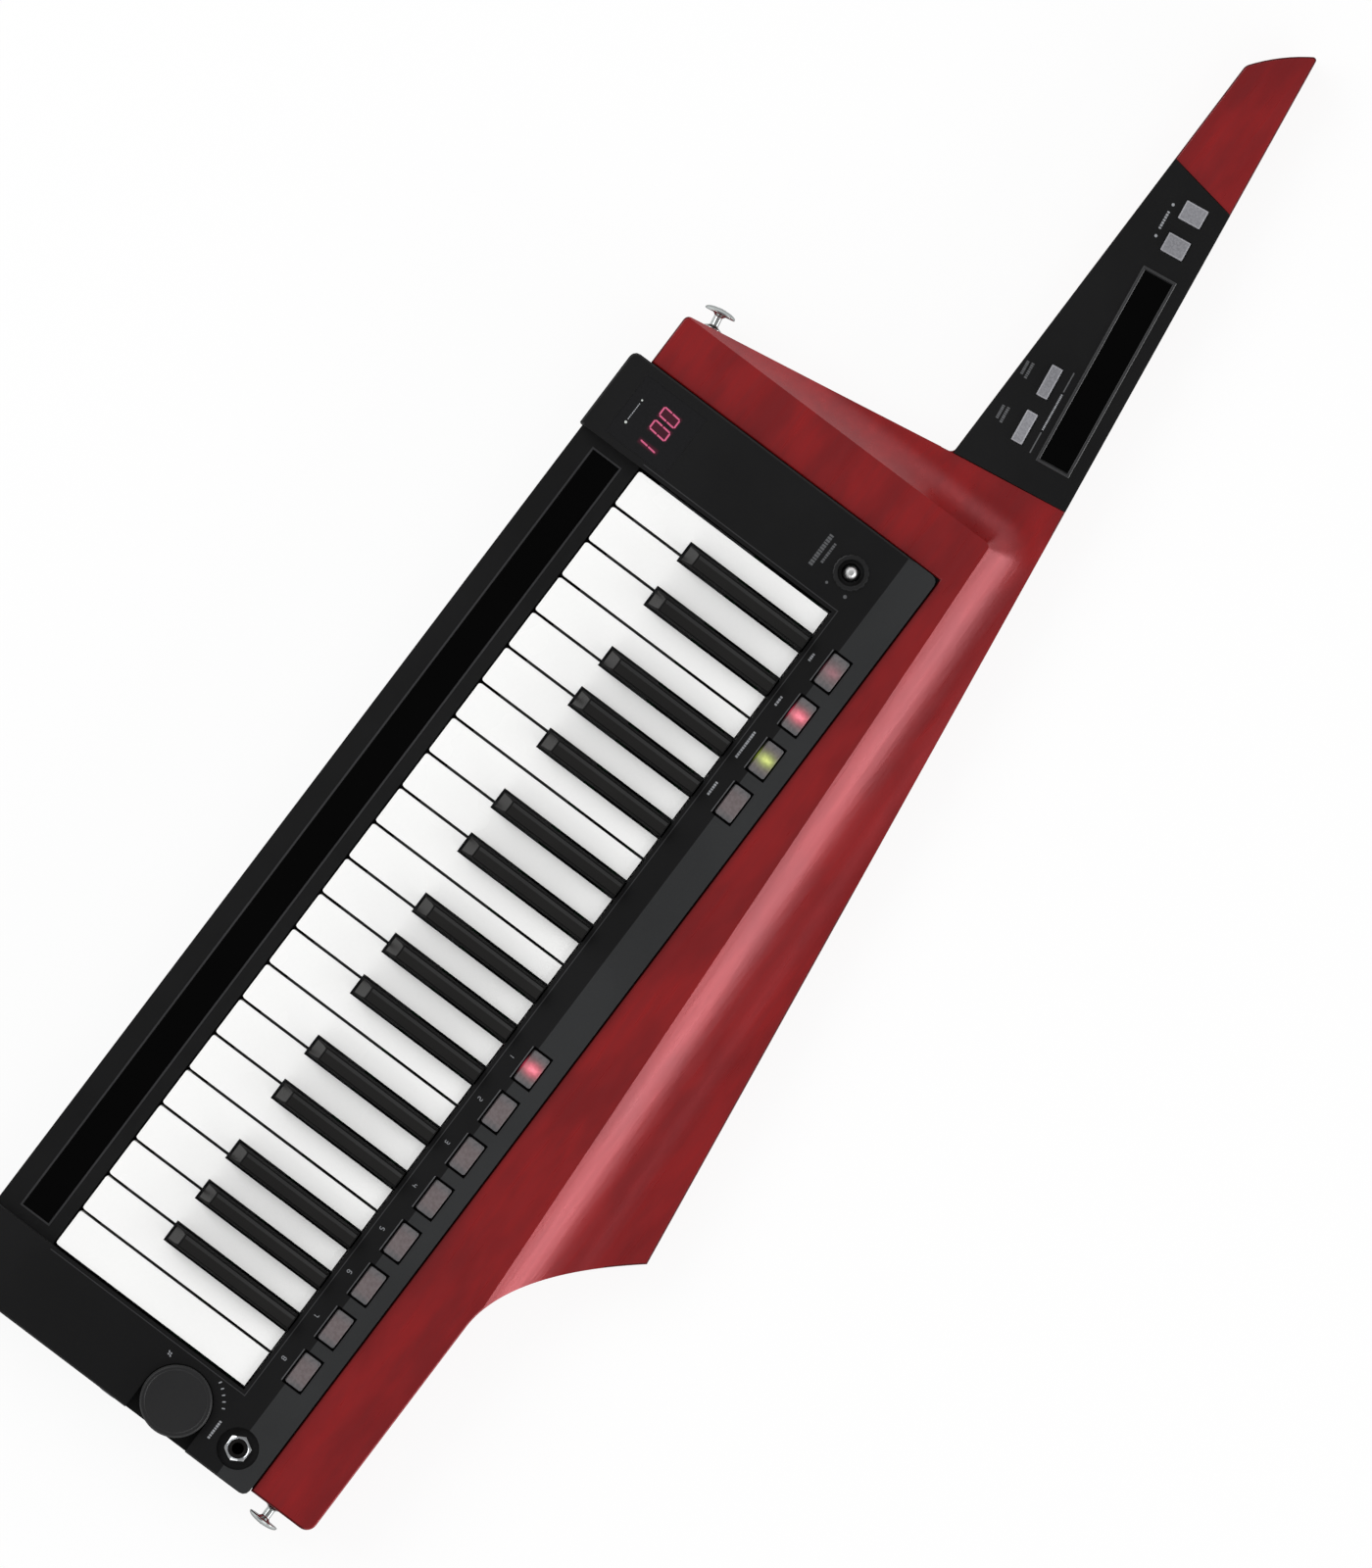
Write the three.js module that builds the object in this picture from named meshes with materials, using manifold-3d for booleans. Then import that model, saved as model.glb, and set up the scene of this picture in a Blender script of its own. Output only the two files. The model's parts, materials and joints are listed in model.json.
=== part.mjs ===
// A keytar: a shoulder-worn keyboard with a neck, lying on its back. Millimetres, +Z out of the playing face.
// +X runs from the neck to the butt end and +Y away from the player. The keys start at X 0 and Y 0, the back
// is at Z 0, and the other pieces are placed from the housing round the keys.
import * as THREE from 'three';
import { mergeVertices } from 'three/addons/utils/BufferGeometryUtils.js';
import Module from 'manifold-3d';

const wasm = await Module();
wasm.setup();
const { sin, cos, tan, asin, PI } = Math;
const radians = THREE.MathUtils.degToRad;

// Clearances and tool sizes that every piece shares
const seatGap = 0.3;
const cutOverrun = 6;
const roundSides = 32;
const pinSides = 16;
const hiddenSides = 12;
const cornerSteps = 3;
const clawSteps = 8;
const ballSteps = 5;
const nutSides = 6;
const domeSides = 4;

// Coordinates are rounded to this fine grid, so that faces meant to meet do
const weldGrid = 2 ** -12;

// White keys: three octaves and a last C
const octaveCount = 3;
const whitePitch = 20.36;
const keyGap = 1.0;
const whiteLength = 109.3;
const whiteFrontHeight = 12;
const whiteCornerRadius = 1.4;
const whiteEdgeChamfer = 0.6;
const whiteWall = 2.2;

// Black keys: how far each stands off the middle, in shares of a white key, and which white key it follows
const blackWidth = 8.7;
const blackTopWidth = 6.9;
const blackShoulderDrop = 2.6;
const blackSideGap = 1.05;
const blackFrontGap = 1.0;
const blackFront = 39.8;
const blackRise = 10;
const blackFrontUpright = 1.2;
const blackFrontRun = 6;
const blackShiftShares = [-0.12, 0.13, -0.16, -0.02, 0.16];
const blackFollows = [0, 1, 3, 4, 5];
const blackNames = ['cs', 'ds', 'fs', 'gs', 'as'];
const whiteNames = ['c', 'd', 'e', 'f', 'g', 'a', 'b'];

// Tail and snap-on claw of every key, round the bead of the chassis
const pivotBehindKeys = 15.7;
const pivotBelowTops = 12.5;
const beadRadius = 1.7;
const beadGap = 0.4;
const clawWall = 1.5;
const clawSlot = 2.8;
const tailBack = 4.4;
const tailThickness = 6.5;
const tailShoulder = 8;
const tailNeck = 1.4;
const tailRoot = 4;

// Levels above the flat back
const plateauHeight = 44;
const wingHeight = 27;
const panelRise = 6;
const keysBelowPanel = 1.5;

// Housing of the keys: its walls, end blocks, rear bar and the channel before the keys
const shellWall = 2.5;
const housingCornerRadius = 3.6;
const panelEdgeChamfer = 0.8;
const wellSideGap = 0.9;
const wellFrontGap = 1.0;
const wellRearGap = 0.8;
const wellRim = 1.5;
const wellRimDepth = 19;
const neckBlockWidth = 41.6;
const buttBlockWidth = 39.3;
const rearBarDepth = 30.3;
const bevelRun = 16.75;
const bevelDrop = 3.5;
const channelDepth = 33;
const blockLead = 1.55;
const channelDrop = 13;
const channelSkirt = 7;

// Long ribbon in the channel
const longRibbonWidth = 14.6;
const longRibbonMargin = 5.6;
const longRibbonFromKeys = 8.4;
const ribbonThickness = 0.9;
const ribbonRecess = 1.4;

// Display window on the neck-side block
const windowLength = 31.8;
const windowWidth = 33.7;
const windowFromBlockEnd = 6;
const windowFromFront = 12.2;
const windowThickness = 1.2;
const windowRecess = 1.5;

// Value toggle on the neck-side block
const toggleFromWell = 19.7;
const toggleFromRear = 34.2;
const toggleRingRadius = 8.5;
const toggleRingRise = 0.5;
const toggleBoreRadius = 6.15;
const toggleBallRadius = 4.2;
const toggleBallDepth = 7.5;
const toggleCollarWall = 1.6;
const toggleNeckRadius = 1.7;
const toggleTipRadius = 2.9;
const toggleStand = 7;

// Translucent buttons along the rear bar, moulded as two keypads
const capLength = 16.7;
const capWidth = 8.9;
const capRise = 1.1;
const capGap = 1.0;
const capRowFromRear = 13.4;
const functionCapCount = 4;
const functionFromNeckEnd = 21.4;
const functionPitch = 25.24;
const favouriteCapCount = 8;
const favouriteFromButtEnd = 22.1;
const favouritePitch = 25;
const padWeb = 1.2;
const padMargin = 2.2;
const padBelowWall = 0.9;

// Headphone socket
const jackFromButt = 15.9;
const jackFromRear = 16.2;
const jackRecessRadius = 9.9;
const jackRecessDepth = 4.2;
const jackNutFlats = 12.0;
const jackNutHeight = 2.4;
const jackThreadRadius = 4.7;
const jackThreadRise = 1.1;
const jackBoreRadius = 3.4;
const jackBoreDepth = 20;
const jackBodyRadius = 8;
const jackBodyDepth = 16;
const recessWall = 2;

// Volume knob, proud of the butt end
const knobFromButt = 16.3;
const knobFromRear = 52.1;
const knobRadius = 16.85;
const knobRise = 4.5;
const knobChamfer = 0.9;
const knobGap = 0.45;
const knobWellDepth = 10;
const knobStemRadius = 3;
const stemAboveBoard = 3.4;

// Wood body: edges of its outline
const sideStripWidth = 27.5;
const woodBehindFront = 9.5;
const bodyEdgeLean = radians(9.95);
const neckBelowRear = 30.1;
const neckRootWidth = 59.4;
const neckRise = radians(8.0);
const headLength = 53.9;
const headSlant = 23.4;
const headEndBow = 1.7;
const headEndSteps = 6;
const wingLength = 385;
const scoopRun = 73;
const scoopStart = radians(50);
const scoopSteps = 10;
const rearStripDepth = 34.1;
const buttInset = 3.7;
const buttCornerRadius = 5.5;
const woodCornerRadius = 3;
const woodRound = 1.6;
const roundSteps = 2;

// Wood body: the cove that falls from the plateau to the wing, and the chamfered back of the neck
const ridgeInset = 0.3;
const ridgeBehindHousing = 9.5;
const ridgeRise = radians(3.46);
const ridgeCornerRadius = 6;
const neckCoveWidth = 24;
const wingCoveWidth = 36;
const coveSteps = 6;
const ridgeCornerSteps = 6;
const neckBackChamfer = 7;
const heelLength = 18;

// Panel on the neck
const neckPanelLength = 170.4;
const neckPanelLean = radians(9.1);
const neckPanelProud = 1;
const neckPanelDepth = 8;
const neckPanelWall = 2;

// Short ribbon, in a raised lip, and the four buttons of the neck, all laid along the neck's upper edge.
// Each is placed from an end of the panel and below that edge.
const shortRibbonWidth = 14.2;
const shortRibbonFromHead = 48.5;
const shortRibbonFromRoot = 22.9;
const shortRibbonBelowEdge = 15.2;
const ribbonLip = 1.5;
const ribbonLipRise = 0.6;
const shortRibbonRecess = 1.2;
const octaveCapLength = 9.3;
const octaveCapWidth = 11.3;
const octaveCapsFromHead = [15.8, 32.5];
const octaveCapsBelowEdge = 15.3;
const modeCapLength = 15.8;
const modeCapWidth = 5.6;
const modeCapsFromRoot = [52.8, 29.2];
const modeCapsBelowEdge = 36;
const neckCapRise = 1.2;
const neckCapGap = 0.35;
const neckCapFlange = 1.3;
const neckCapFlangeThickness = 1.4;

// Strap pins
const pinHeadRadius = 7.7;
const pinUnderside = 0.8;
const pinRimThickness = 0.7;
const pinDomeHeight = 2.7;
const pinDomeSteps = 3;
const pinStemRadius = 2.1;
const pinStemLength = 5.0;
const pinFootRadius = 4.3;
const pinFootThickness = 1.0;
const pinScrewRadius = 1.8;
const pinScrewLength = 14;
const pinHeight = 20;
const neckPinFromCorner = 13;
const buttPinBehindHousing = 13.1;

// Case below the panel, its posts and its battery bay for six cells in two rows
const caseChamfer = 1.5;
const postRadius = 4;
const postInset = 12;
const bayLength = 157;
const bayWidth = 32;
const bayDepth = 16;
const bayWall = 1.5;
const bayFromWell = 146;
const bayFromCaseFront = 10.5;
const coverLedge = 1.5;
const coverThickness = 2.2;
const coverGripLength = 14;
const coverGripWidth = 3;
const coverGripDepth = 0.9;
const coverGripCount = 3;

// Chassis under the keys
const chassisBelowKeys = 12.5;
const chassisPlate = 2;
const chassisFront = 11;
const chassisBehindPivot = 7;
const stopRailWidth = 10;
const pivotRib = 1.4;
const keyTravel = radians(3.4);

// Circuit board, contact strip and the sockets soldered under the board at the butt end
const contactAheadOfPivot = 40;
const boardThickness = 1.6;
const boardWidth = 38;
const boardEndLength = 34;
const boardEndFromFront = 13.5;
const stripWidth = 26;
const stripThickness = 1.2;
const domeWidth = 6;
const domeTopWidth = 3.4;
const potSize = 15;
const potBelowWell = 3.1;
const socketBelowRim = 12;
const socketDepth = 20;
const socketPitch = 19;
const socketFromFront = 41.5;
const socketBodySize = 16.5;
const socketNoseRadii = [5.6, 8.2, 4.8];
const socketBoreRadii = [3.35, 6.7, 3.1];

// Power button on the butt end
const powerRadius = 4.4;
const powerRise = 1.6;
const powerFlange = 1.4;
const powerFlangeThickness = 1.4;
const powerFromFront = 96;

// Places worked out from the sizes above
const whiteCount = octaveCount * whiteNames.length + 1;
const keysLength = whiteCount * whitePitch;
const panelTop = plateauHeight + panelRise;
const keyTop = panelTop - keysBelowPanel;
const keyBottom = keyTop - whiteFrontHeight;
const pivot = { y: whiteLength + pivotBehindKeys, z: keyTop - pivotBelowTops };
const well = {
  left: -wellSideGap,
  right: keysLength + wellSideGap,
  front: -wellFrontGap,
  rear: whiteLength + wellRearGap,
};
const channelFront = well.front - channelDepth;
const housing = {
  left: well.left - neckBlockWidth,
  right: well.right + buttBlockWidth,
  front: channelFront - blockLead,
  rear: well.rear + rearBarDepth,
};
const foldLine = housing.rear - bevelRun;
const bevelAngle = Math.atan2(bevelDrop, bevelRun);
const channelTop = panelTop - channelDrop;
const caseHeight = channelTop - channelSkirt;
const panelBottom = caseHeight + seatGap;
const knobFloor = panelTop - knobWellDepth;
const chassisFloor = keyBottom - chassisBelowKeys;
const chassisBack = pivot.y + chassisBehindPivot;
const contactLine = pivot.y - contactAheadOfPivot;
const boardBottom = chassisFloor + chassisPlate + seatGap;
const boardTop = boardBottom + boardThickness;
const stripBottom = boardTop + seatGap;
const socketHeight = caseHeight - socketBelowRim;
const powerPlace = housing.front + powerFromFront;

// Places of the wood: the corner before the keys, the root of the neck and the ends of the neck and wing
const woodRear = housing.rear + rearStripDepth;
const woodButt = housing.right - buttInset;
const woodCorner = at(housing.left - sideStripWidth, housing.front + woodBehindFront);
const neckLower = housing.rear - neckBelowRear;
const neckRoot = at(bodyLeftEdge(neckLower), neckLower);
const wingTip = at(neckRoot.x + wingLength, upperEdge(neckRoot.x + wingLength));
const neckPanelHead = neckRoot.x - neckPanelLength;
const headEnd = neckPanelHead - headLength;
const neckPanelTop = wingHeight + neckPanelProud;
const neckSeat = neckPanelTop - neckPanelDepth - seatGap;

function at(x, y) {
  return new THREE.Vector2(x, y);
}

function bodyLeftEdge(y) {
  return woodCorner.x - (y - woodCorner.y) * tan(bodyEdgeLean);
}

// The upper edge runs from the headstock tip to the wing tip in one straight line
function upperEdge(x) {
  return neckRoot.y + neckRootWidth + (x - neckRoot.x) * tan(neckRise);
}

// Solids for joining and cutting

function solid(geometry) {
  const bare = geometry.clone();
  bare.deleteAttribute('normal');
  bare.deleteAttribute('uv');
  bare.attributes.position.array.forEach((value, index, values) => {
    values[index] = Math.round(value / weldGrid) * weldGrid;
  });
  const merged = mergeVertices(bare);
  const vertProperties = new Float32Array(merged.attributes.position.array);
  const triVerts = new Uint32Array(merged.index.array);
  return new wasm.Manifold(new wasm.Mesh({ numProp: 3, vertProperties, triVerts }));
}

function joined(solids) {
  return solids.reduce((whole, next) => whole.add(next));
}

function cut(whole, tools) {
  return tools.reduce((rest, tool) => rest.subtract(tool), whole);
}

function block(x, y, z) {
  const geometry = new THREE.BoxGeometry(x[1] - x[0], y[1] - y[0], z[1] - z[0]);
  geometry.translate((x[0] + x[1]) / 2, (y[0] + y[1]) / 2, (z[0] + z[1]) / 2);
  return solid(geometry);
}

function prism(points, bottom, top, rounding = 0, steps = 1) {
  const geometry = new THREE.ExtrudeGeometry(new THREE.Shape(points), {
    depth: top - bottom - 2 * rounding,
    bevelEnabled: rounding > 0,
    bevelThickness: rounding,
    bevelSize: rounding,
    bevelOffset: -rounding,
    bevelSegments: steps,
  });
  geometry.translate(0, 0, bottom + rounding);
  return solid(geometry);
}

// A side view in Y and Z, run from one X to another
function sideProfile(points, from, to) {
  const shape = new THREE.Shape(points);
  const geometry = new THREE.ExtrudeGeometry(shape, { depth: to - from, bevelEnabled: false });
  geometry.translate(0, 0, from);
  geometry.applyMatrix4(
    new THREE.Matrix4().makeBasis(
      new THREE.Vector3(0, 1, 0),
      new THREE.Vector3(0, 0, 1),
      new THREE.Vector3(1, 0, 0),
    ),
  );
  return solid(geometry);
}

// A turned form about Z through a centre: its profile holds radii and heights
function turned(profile, centre = at(0, 0), sides = roundSides) {
  const geometry = new THREE.LatheGeometry(profile, sides);
  geometry.rotateX(PI / 2);
  geometry.translate(centre.x, centre.y, 0);
  return solid(geometry);
}

function circle(radius, centre, sides) {
  return Array.from({ length: sides }, (unused, index) => {
    const angle = (2 * PI * index) / sides;
    return at(centre.x + radius * cos(angle), centre.y + radius * sin(angle));
  });
}

function cylinder(radius, bottom, top, centre, sides = roundSides) {
  return prism(circle(radius, centre, sides), bottom, top);
}

// A round bar along X, from one X to another
function crossBar(radius, from, to, y, z, sides = pinSides) {
  const geometry = new THREE.CylinderGeometry(radius, radius, to - from, sides);
  geometry.rotateZ(PI / 2);
  geometry.translate((from + to) / 2, y, z);
  return solid(geometry);
}

function rectangle(x, y) {
  return [at(x[0], y[0]), at(x[1], y[0]), at(x[1], y[1]), at(x[0], y[1])];
}

// A rectangle laid along the neck's upper edge, about its own centre
function alongNeck(centre, length, width) {
  const corners = rectangle([-length / 2, length / 2], [-width / 2, width / 2]);
  return corners.map((corner) => corner.rotateAround(at(0, 0), neckRise).add(centre));
}

// A polygon with each of its corners rounded by its own radius, as [corner, radius]
function roundedOutline(corners) {
  const points = [];
  corners.forEach(([corner, radius], index) => {
    const before = corners.at(index - 1)[0];
    const after = corners[(index + 1) % corners.length][0];
    if (radius === 0) {
      points.push(corner);
      return;
    }
    const toBefore = before.clone().sub(corner).normalize();
    const toAfter = after.clone().sub(corner).normalize();
    const halfAngle = Math.acos(toBefore.dot(toAfter)) / 2;
    const setback = radius / tan(halfAngle);
    const start = corner.clone().addScaledVector(toBefore, setback);
    const end = corner.clone().addScaledVector(toAfter, setback);
    const towardsCentre = toBefore.clone().add(toAfter).normalize();
    const centre = corner.clone().addScaledVector(towardsCentre, radius / sin(halfAngle));
    const startAngle = start.clone().sub(centre).angle();
    const endAngle = end.clone().sub(centre).angle();
    const turn = Math.atan2(sin(endAngle - startAngle), cos(endAngle - startAngle));
    for (let step = 0; step <= cornerSteps; step += 1) {
      const angle = startAngle + (turn * step) / cornerSteps;
      points.push(at(centre.x + radius * cos(angle), centre.y + radius * sin(angle)));
    }
  });
  return points;
}

// Materials

function finish(color, roughness, metalness = 0) {
  return new THREE.MeshStandardMaterial({ color, roughness, metalness });
}

const stainedWood = finish(0x85201f, 0.42);
const blackShell = finish(0x1e1e1f, 0.5);
const whitePlastic = finish(0xf0f0ee, 0.25);
const blackPlastic = finish(0x18181a, 0.3);
const smokedCap = finish(0x6e6969, 0.35);
const silverCap = finish(0xa5a6aa, 0.4, 0.3);
const glossBlack = finish(0x050506, 0.12);
const knobPlastic = finish(0x28282a, 0.45);
const chrome = finish(0xd8dadc, 0.15, 1);
const rubber = finish(0x3a3d42, 0.8);
const board = finish(0x1c5a3a, 0.5);
const steel = finish(0x9a9c9f, 0.4, 0.9);

const keytar = new THREE.Group();
keytar.name = 'keytar';

function addPiece(name, form, material, parent = keytar) {
  const { vertProperties, triVerts } = form.getMesh();
  const geometry = new THREE.BufferGeometry();
  geometry.setAttribute('position', new THREE.BufferAttribute(vertProperties, 3));
  geometry.setIndex(new THREE.BufferAttribute(triVerts, 1));
  geometry.computeVertexNormals();
  const mesh = new THREE.Mesh(geometry, material);
  mesh.name = name;
  parent.add(mesh);
  return mesh;
}

// Keys

// The tail's outline behind the cap, ending in a claw that is open below for the chassis rib
function clawOutline() {
  const bore = beadRadius + beadGap;
  const outer = bore + clawWall;
  const halfSlot = clawSlot / 2;
  const slotAngle = asin(halfSlot / bore);
  const points = [at(pivot.y - halfSlot, pivot.z - outer)];
  for (let step = 0; step <= clawSteps; step += 1) {
    const angle = -PI / 2 - slotAngle - ((2 * PI - 2 * slotAngle) * step) / clawSteps;
    points.push(at(pivot.y + bore * cos(angle), pivot.z + bore * sin(angle)));
  }
  points.push(at(pivot.y + halfSlot, pivot.z - outer));
  points.push(at(pivot.y + tailBack, pivot.z - outer));
  points.push(at(pivot.y + tailBack, pivot.z + outer));
  return points;
}

function tailOutline() {
  const outer = beadRadius + beadGap + clawWall;
  const rise = pivot.z - outer + tailThickness + tailNeck;
  const clawStart = at(pivot.y - tailNeck - tailRoot, pivot.z + outer);
  return {
    bottom: at(whiteLength - tailRoot, pivot.z - outer),
    top: [clawStart, at(whiteLength + tailShoulder, rise), at(whiteLength, rise)],
  };
}

// The plan of a white key: wide before its black neighbours, narrow between them, drawn in by an inset
function whitePlan(index, inset, radius) {
  const left = index * whitePitch + keyGap / 2 + inset;
  const right = (index + 1) * whitePitch - keyGap / 2 - inset;
  const blackHalf = blackWidth / 2 + blackSideGap;
  const leftBlack = blackCentreAfter(index - 1);
  const rightBlack = blackCentreAfter(index);
  const narrowLeft = leftBlack === null ? left : leftBlack + blackHalf + inset;
  const narrowRight = rightBlack === null ? right : rightBlack - blackHalf - inset;
  return {
    left,
    right,
    narrowLeft,
    narrowRight,
    front: inset,
    notch: blackFront - blackFrontGap - inset,
    radius,
  };
}

// Where the black key after a white key stands, or null where two white keys meet
function blackCentreAfter(index) {
  const place = blackFollows.indexOf(((index % whiteNames.length) + whiteNames.length) % whiteNames.length);
  if (place < 0 || index < 0 || index >= whiteCount - 1) {
    return null;
  }
  return (index + 1 + blackShiftShares[place]) * whitePitch;
}

function whiteOutline(plan, back) {
  const corners = [
    [at(plan.left, plan.front), plan.radius],
    [at(plan.right, plan.front), plan.radius],
    [at(plan.right, plan.notch), 0],
    [at(plan.narrowRight, plan.notch), 0],
    [at(plan.narrowRight, back), 0],
    [at(plan.narrowLeft, back), 0],
    [at(plan.narrowLeft, plan.notch), 0],
    [at(plan.left, plan.notch), 0],
  ];
  const distinct = corners.filter(([corner], index) => !corner.equals(corners.at(index - 1)[0]));
  return roundedOutline(distinct);
}

function whiteKey(index) {
  const tail = tailOutline();
  const back = pivot.y + tailBack + cutOverrun;
  const side = [
    at(0, keyBottom),
    at(tail.bottom.x, keyBottom),
    tail.bottom,
    ...clawOutline(),
    ...tail.top,
    at(whiteLength, keyTop),
    at(whiteEdgeChamfer, keyTop),
    at(0, keyTop - whiteEdgeChamfer),
  ];
  const plan = whitePlan(index, 0, whiteCornerRadius);
  const form = sideProfile(side, plan.left, plan.right).intersect(
    prism(whiteOutline(plan, back), 0, panelTop),
  );
  const hollow = whitePlan(index, whiteWall, 0);
  const roof = keyTop - whiteWall;
  const frontHollow = block([hollow.left, hollow.right], [hollow.front, hollow.notch], [0, roof]);
  const narrow = [hollow.narrowLeft, hollow.narrowRight];
  const middleHollow = block(narrow, [hollow.notch + 2 * whiteWall, contactLine - whiteWall / 2], [0, roof]);
  const rearHollow = block(narrow, [contactLine + whiteWall / 2, tail.bottom.x - whiteWall], [0, roof]);
  return cut(form, [frontHollow, middleHollow, rearHollow]);
}

function blackKey(centre) {
  const tail = tailOutline();
  const top = keyTop + blackRise;
  const side = [
    at(blackFront, keyBottom),
    at(tail.bottom.x, keyBottom),
    tail.bottom,
    ...clawOutline(),
    ...tail.top,
    at(whiteLength, top),
    at(blackFront + blackFrontRun, top),
    at(blackFront, keyTop + blackFrontUpright),
  ];
  const left = centre - blackWidth / 2;
  const right = centre + blackWidth / 2;
  const shoulder = (blackWidth - blackTopWidth) / 2;
  const section = [
    at(left, 0),
    at(right, 0),
    at(right, top - blackShoulderDrop),
    at(right - shoulder, top),
    at(left + shoulder, top),
    at(left, top - blackShoulderDrop),
  ];
  const run = new THREE.ExtrudeGeometry(new THREE.Shape(section), {
    depth: pivot.y + tailBack + 2 * cutOverrun,
    bevelEnabled: false,
  });
  run.rotateX(PI / 2);
  run.translate(0, pivot.y + tailBack + cutOverrun, 0);
  return sideProfile(side, left, right).intersect(solid(run));
}

for (let index = 0; index < whiteCount; index += 1) {
  const octave = Math.floor(index / whiteNames.length) + 1;
  const note = whiteNames[index % whiteNames.length];
  addPiece(`white_key_${note}${octave}`, whiteKey(index), whitePlastic);
  const centre = blackCentreAfter(index);
  if (centre !== null) {
    const blackNote = blackNames[blackFollows.indexOf(index % whiteNames.length)];
    addPiece(`black_key_${blackNote}${octave}`, blackKey(centre), blackPlastic);
  }
}

// Housing of the keys

// The plan of the housing, set back before the keys, drawn in by an inset
function housingOutline(inset) {
  const outer = housingCornerRadius - inset;
  const front = housing.front + inset;
  const setback = channelFront + inset;
  return roundedOutline([
    [at(housing.left + inset, front), outer],
    [at(well.left - inset, front), 0],
    [at(well.left - inset, setback), 0],
    [at(well.right + inset, setback), 0],
    [at(well.right + inset, front), 0],
    [at(housing.right - inset, front), outer],
    [at(housing.right - inset, housing.rear - inset), outer],
    [at(housing.left + inset, housing.rear - inset), outer],
  ]);
}

// The panel's outer form, or the form of its hollow when drawn in by its wall
function panelForm(inset, chamfer) {
  const bottom = panelBottom - cutOverrun;
  const top = panelTop - inset;
  const form = prism(housingOutline(inset), bottom, top, chamfer);
  const drop = inset / cos(bevelAngle);
  const rear = housing.rear + cutOverrun;
  const wedge = sideProfile(
    [
      at(foldLine, panelTop - drop),
      at(rear, panelTop - drop - (rear - foldLine) * tan(bevelAngle)),
      at(rear, panelTop + cutOverrun),
      at(foldLine, panelTop + cutOverrun),
    ],
    housing.left - cutOverrun,
    housing.right + cutOverrun,
  );
  const channel = block(
    [well.left - inset, well.right + inset],
    [housing.front - cutOverrun, well.front],
    [channelTop - inset, panelTop + cutOverrun],
  );
  return cut(form, [wedge, channel]);
}

const knobCentre = at(housing.right - knobFromButt, housing.rear - knobFromRear);
const jackCentre = at(housing.right - jackFromButt, housing.rear - jackFromRear);
const toggleCentre = at(well.left - toggleFromWell, housing.rear - toggleFromRear);
const jackFloor = panelTop - jackRecessDepth;
const toggleBallHeight = panelTop - toggleBallDepth;
const capRow = housing.rear - capRowFromRear;
const capRowHeight = panelTop - (capRow - foldLine) * tan(bevelAngle);

// The round well of the knob, open to the butt end, drawn out by a margin
function knobWell(margin, bottom, top) {
  const radius = knobRadius + knobGap + margin;
  const end = housing.right + cutOverrun;
  const outline = [at(end, knobCentre.y + radius)];
  for (let step = 0; step <= roundSides / 2; step += 1) {
    const angle = PI / 2 + (2 * PI * step) / roundSides;
    outline.push(at(knobCentre.x + radius * cos(angle), knobCentre.y + radius * sin(angle)));
  }
  outline.push(at(end, knobCentre.y - radius));
  return prism(outline, bottom, top);
}

// A place on the sloping strip of the rear bar, whose own Z stands square to the slope
function slopePlace(x) {
  const place = new THREE.Object3D();
  place.position.set(x, capRow, capRowHeight);
  place.rotation.x = -bevelAngle;
  place.updateMatrixWorld();
  return place;
}

function onSlope(geometry, x) {
  return solid(geometry.applyMatrix4(slopePlace(x).matrixWorld));
}

function capCentres(first, pitch, count) {
  return Array.from({ length: count }, (unused, index) => first + index * pitch);
}

const favouriteStart = keysLength - favouriteFromButtEnd - (favouriteCapCount - 1) * favouritePitch;
const functionCaps = capCentres(functionFromNeckEnd, functionPitch, functionCapCount);
const favouriteCaps = capCentres(favouriteStart, favouritePitch, favouriteCapCount);

const windowCorner = at(housing.left + windowFromBlockEnd, housing.front + windowFromFront);
const windowPlace = {
  x: [windowCorner.x, windowCorner.x + windowLength],
  y: [windowCorner.y, windowCorner.y + windowWidth],
};
const longRibbonPlace = {
  x: [longRibbonMargin, keysLength - longRibbonMargin],
  y: [-longRibbonFromKeys - longRibbonWidth, -longRibbonFromKeys],
};

function widened([low, high], margin) {
  return [low - margin, high + margin];
}

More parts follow.
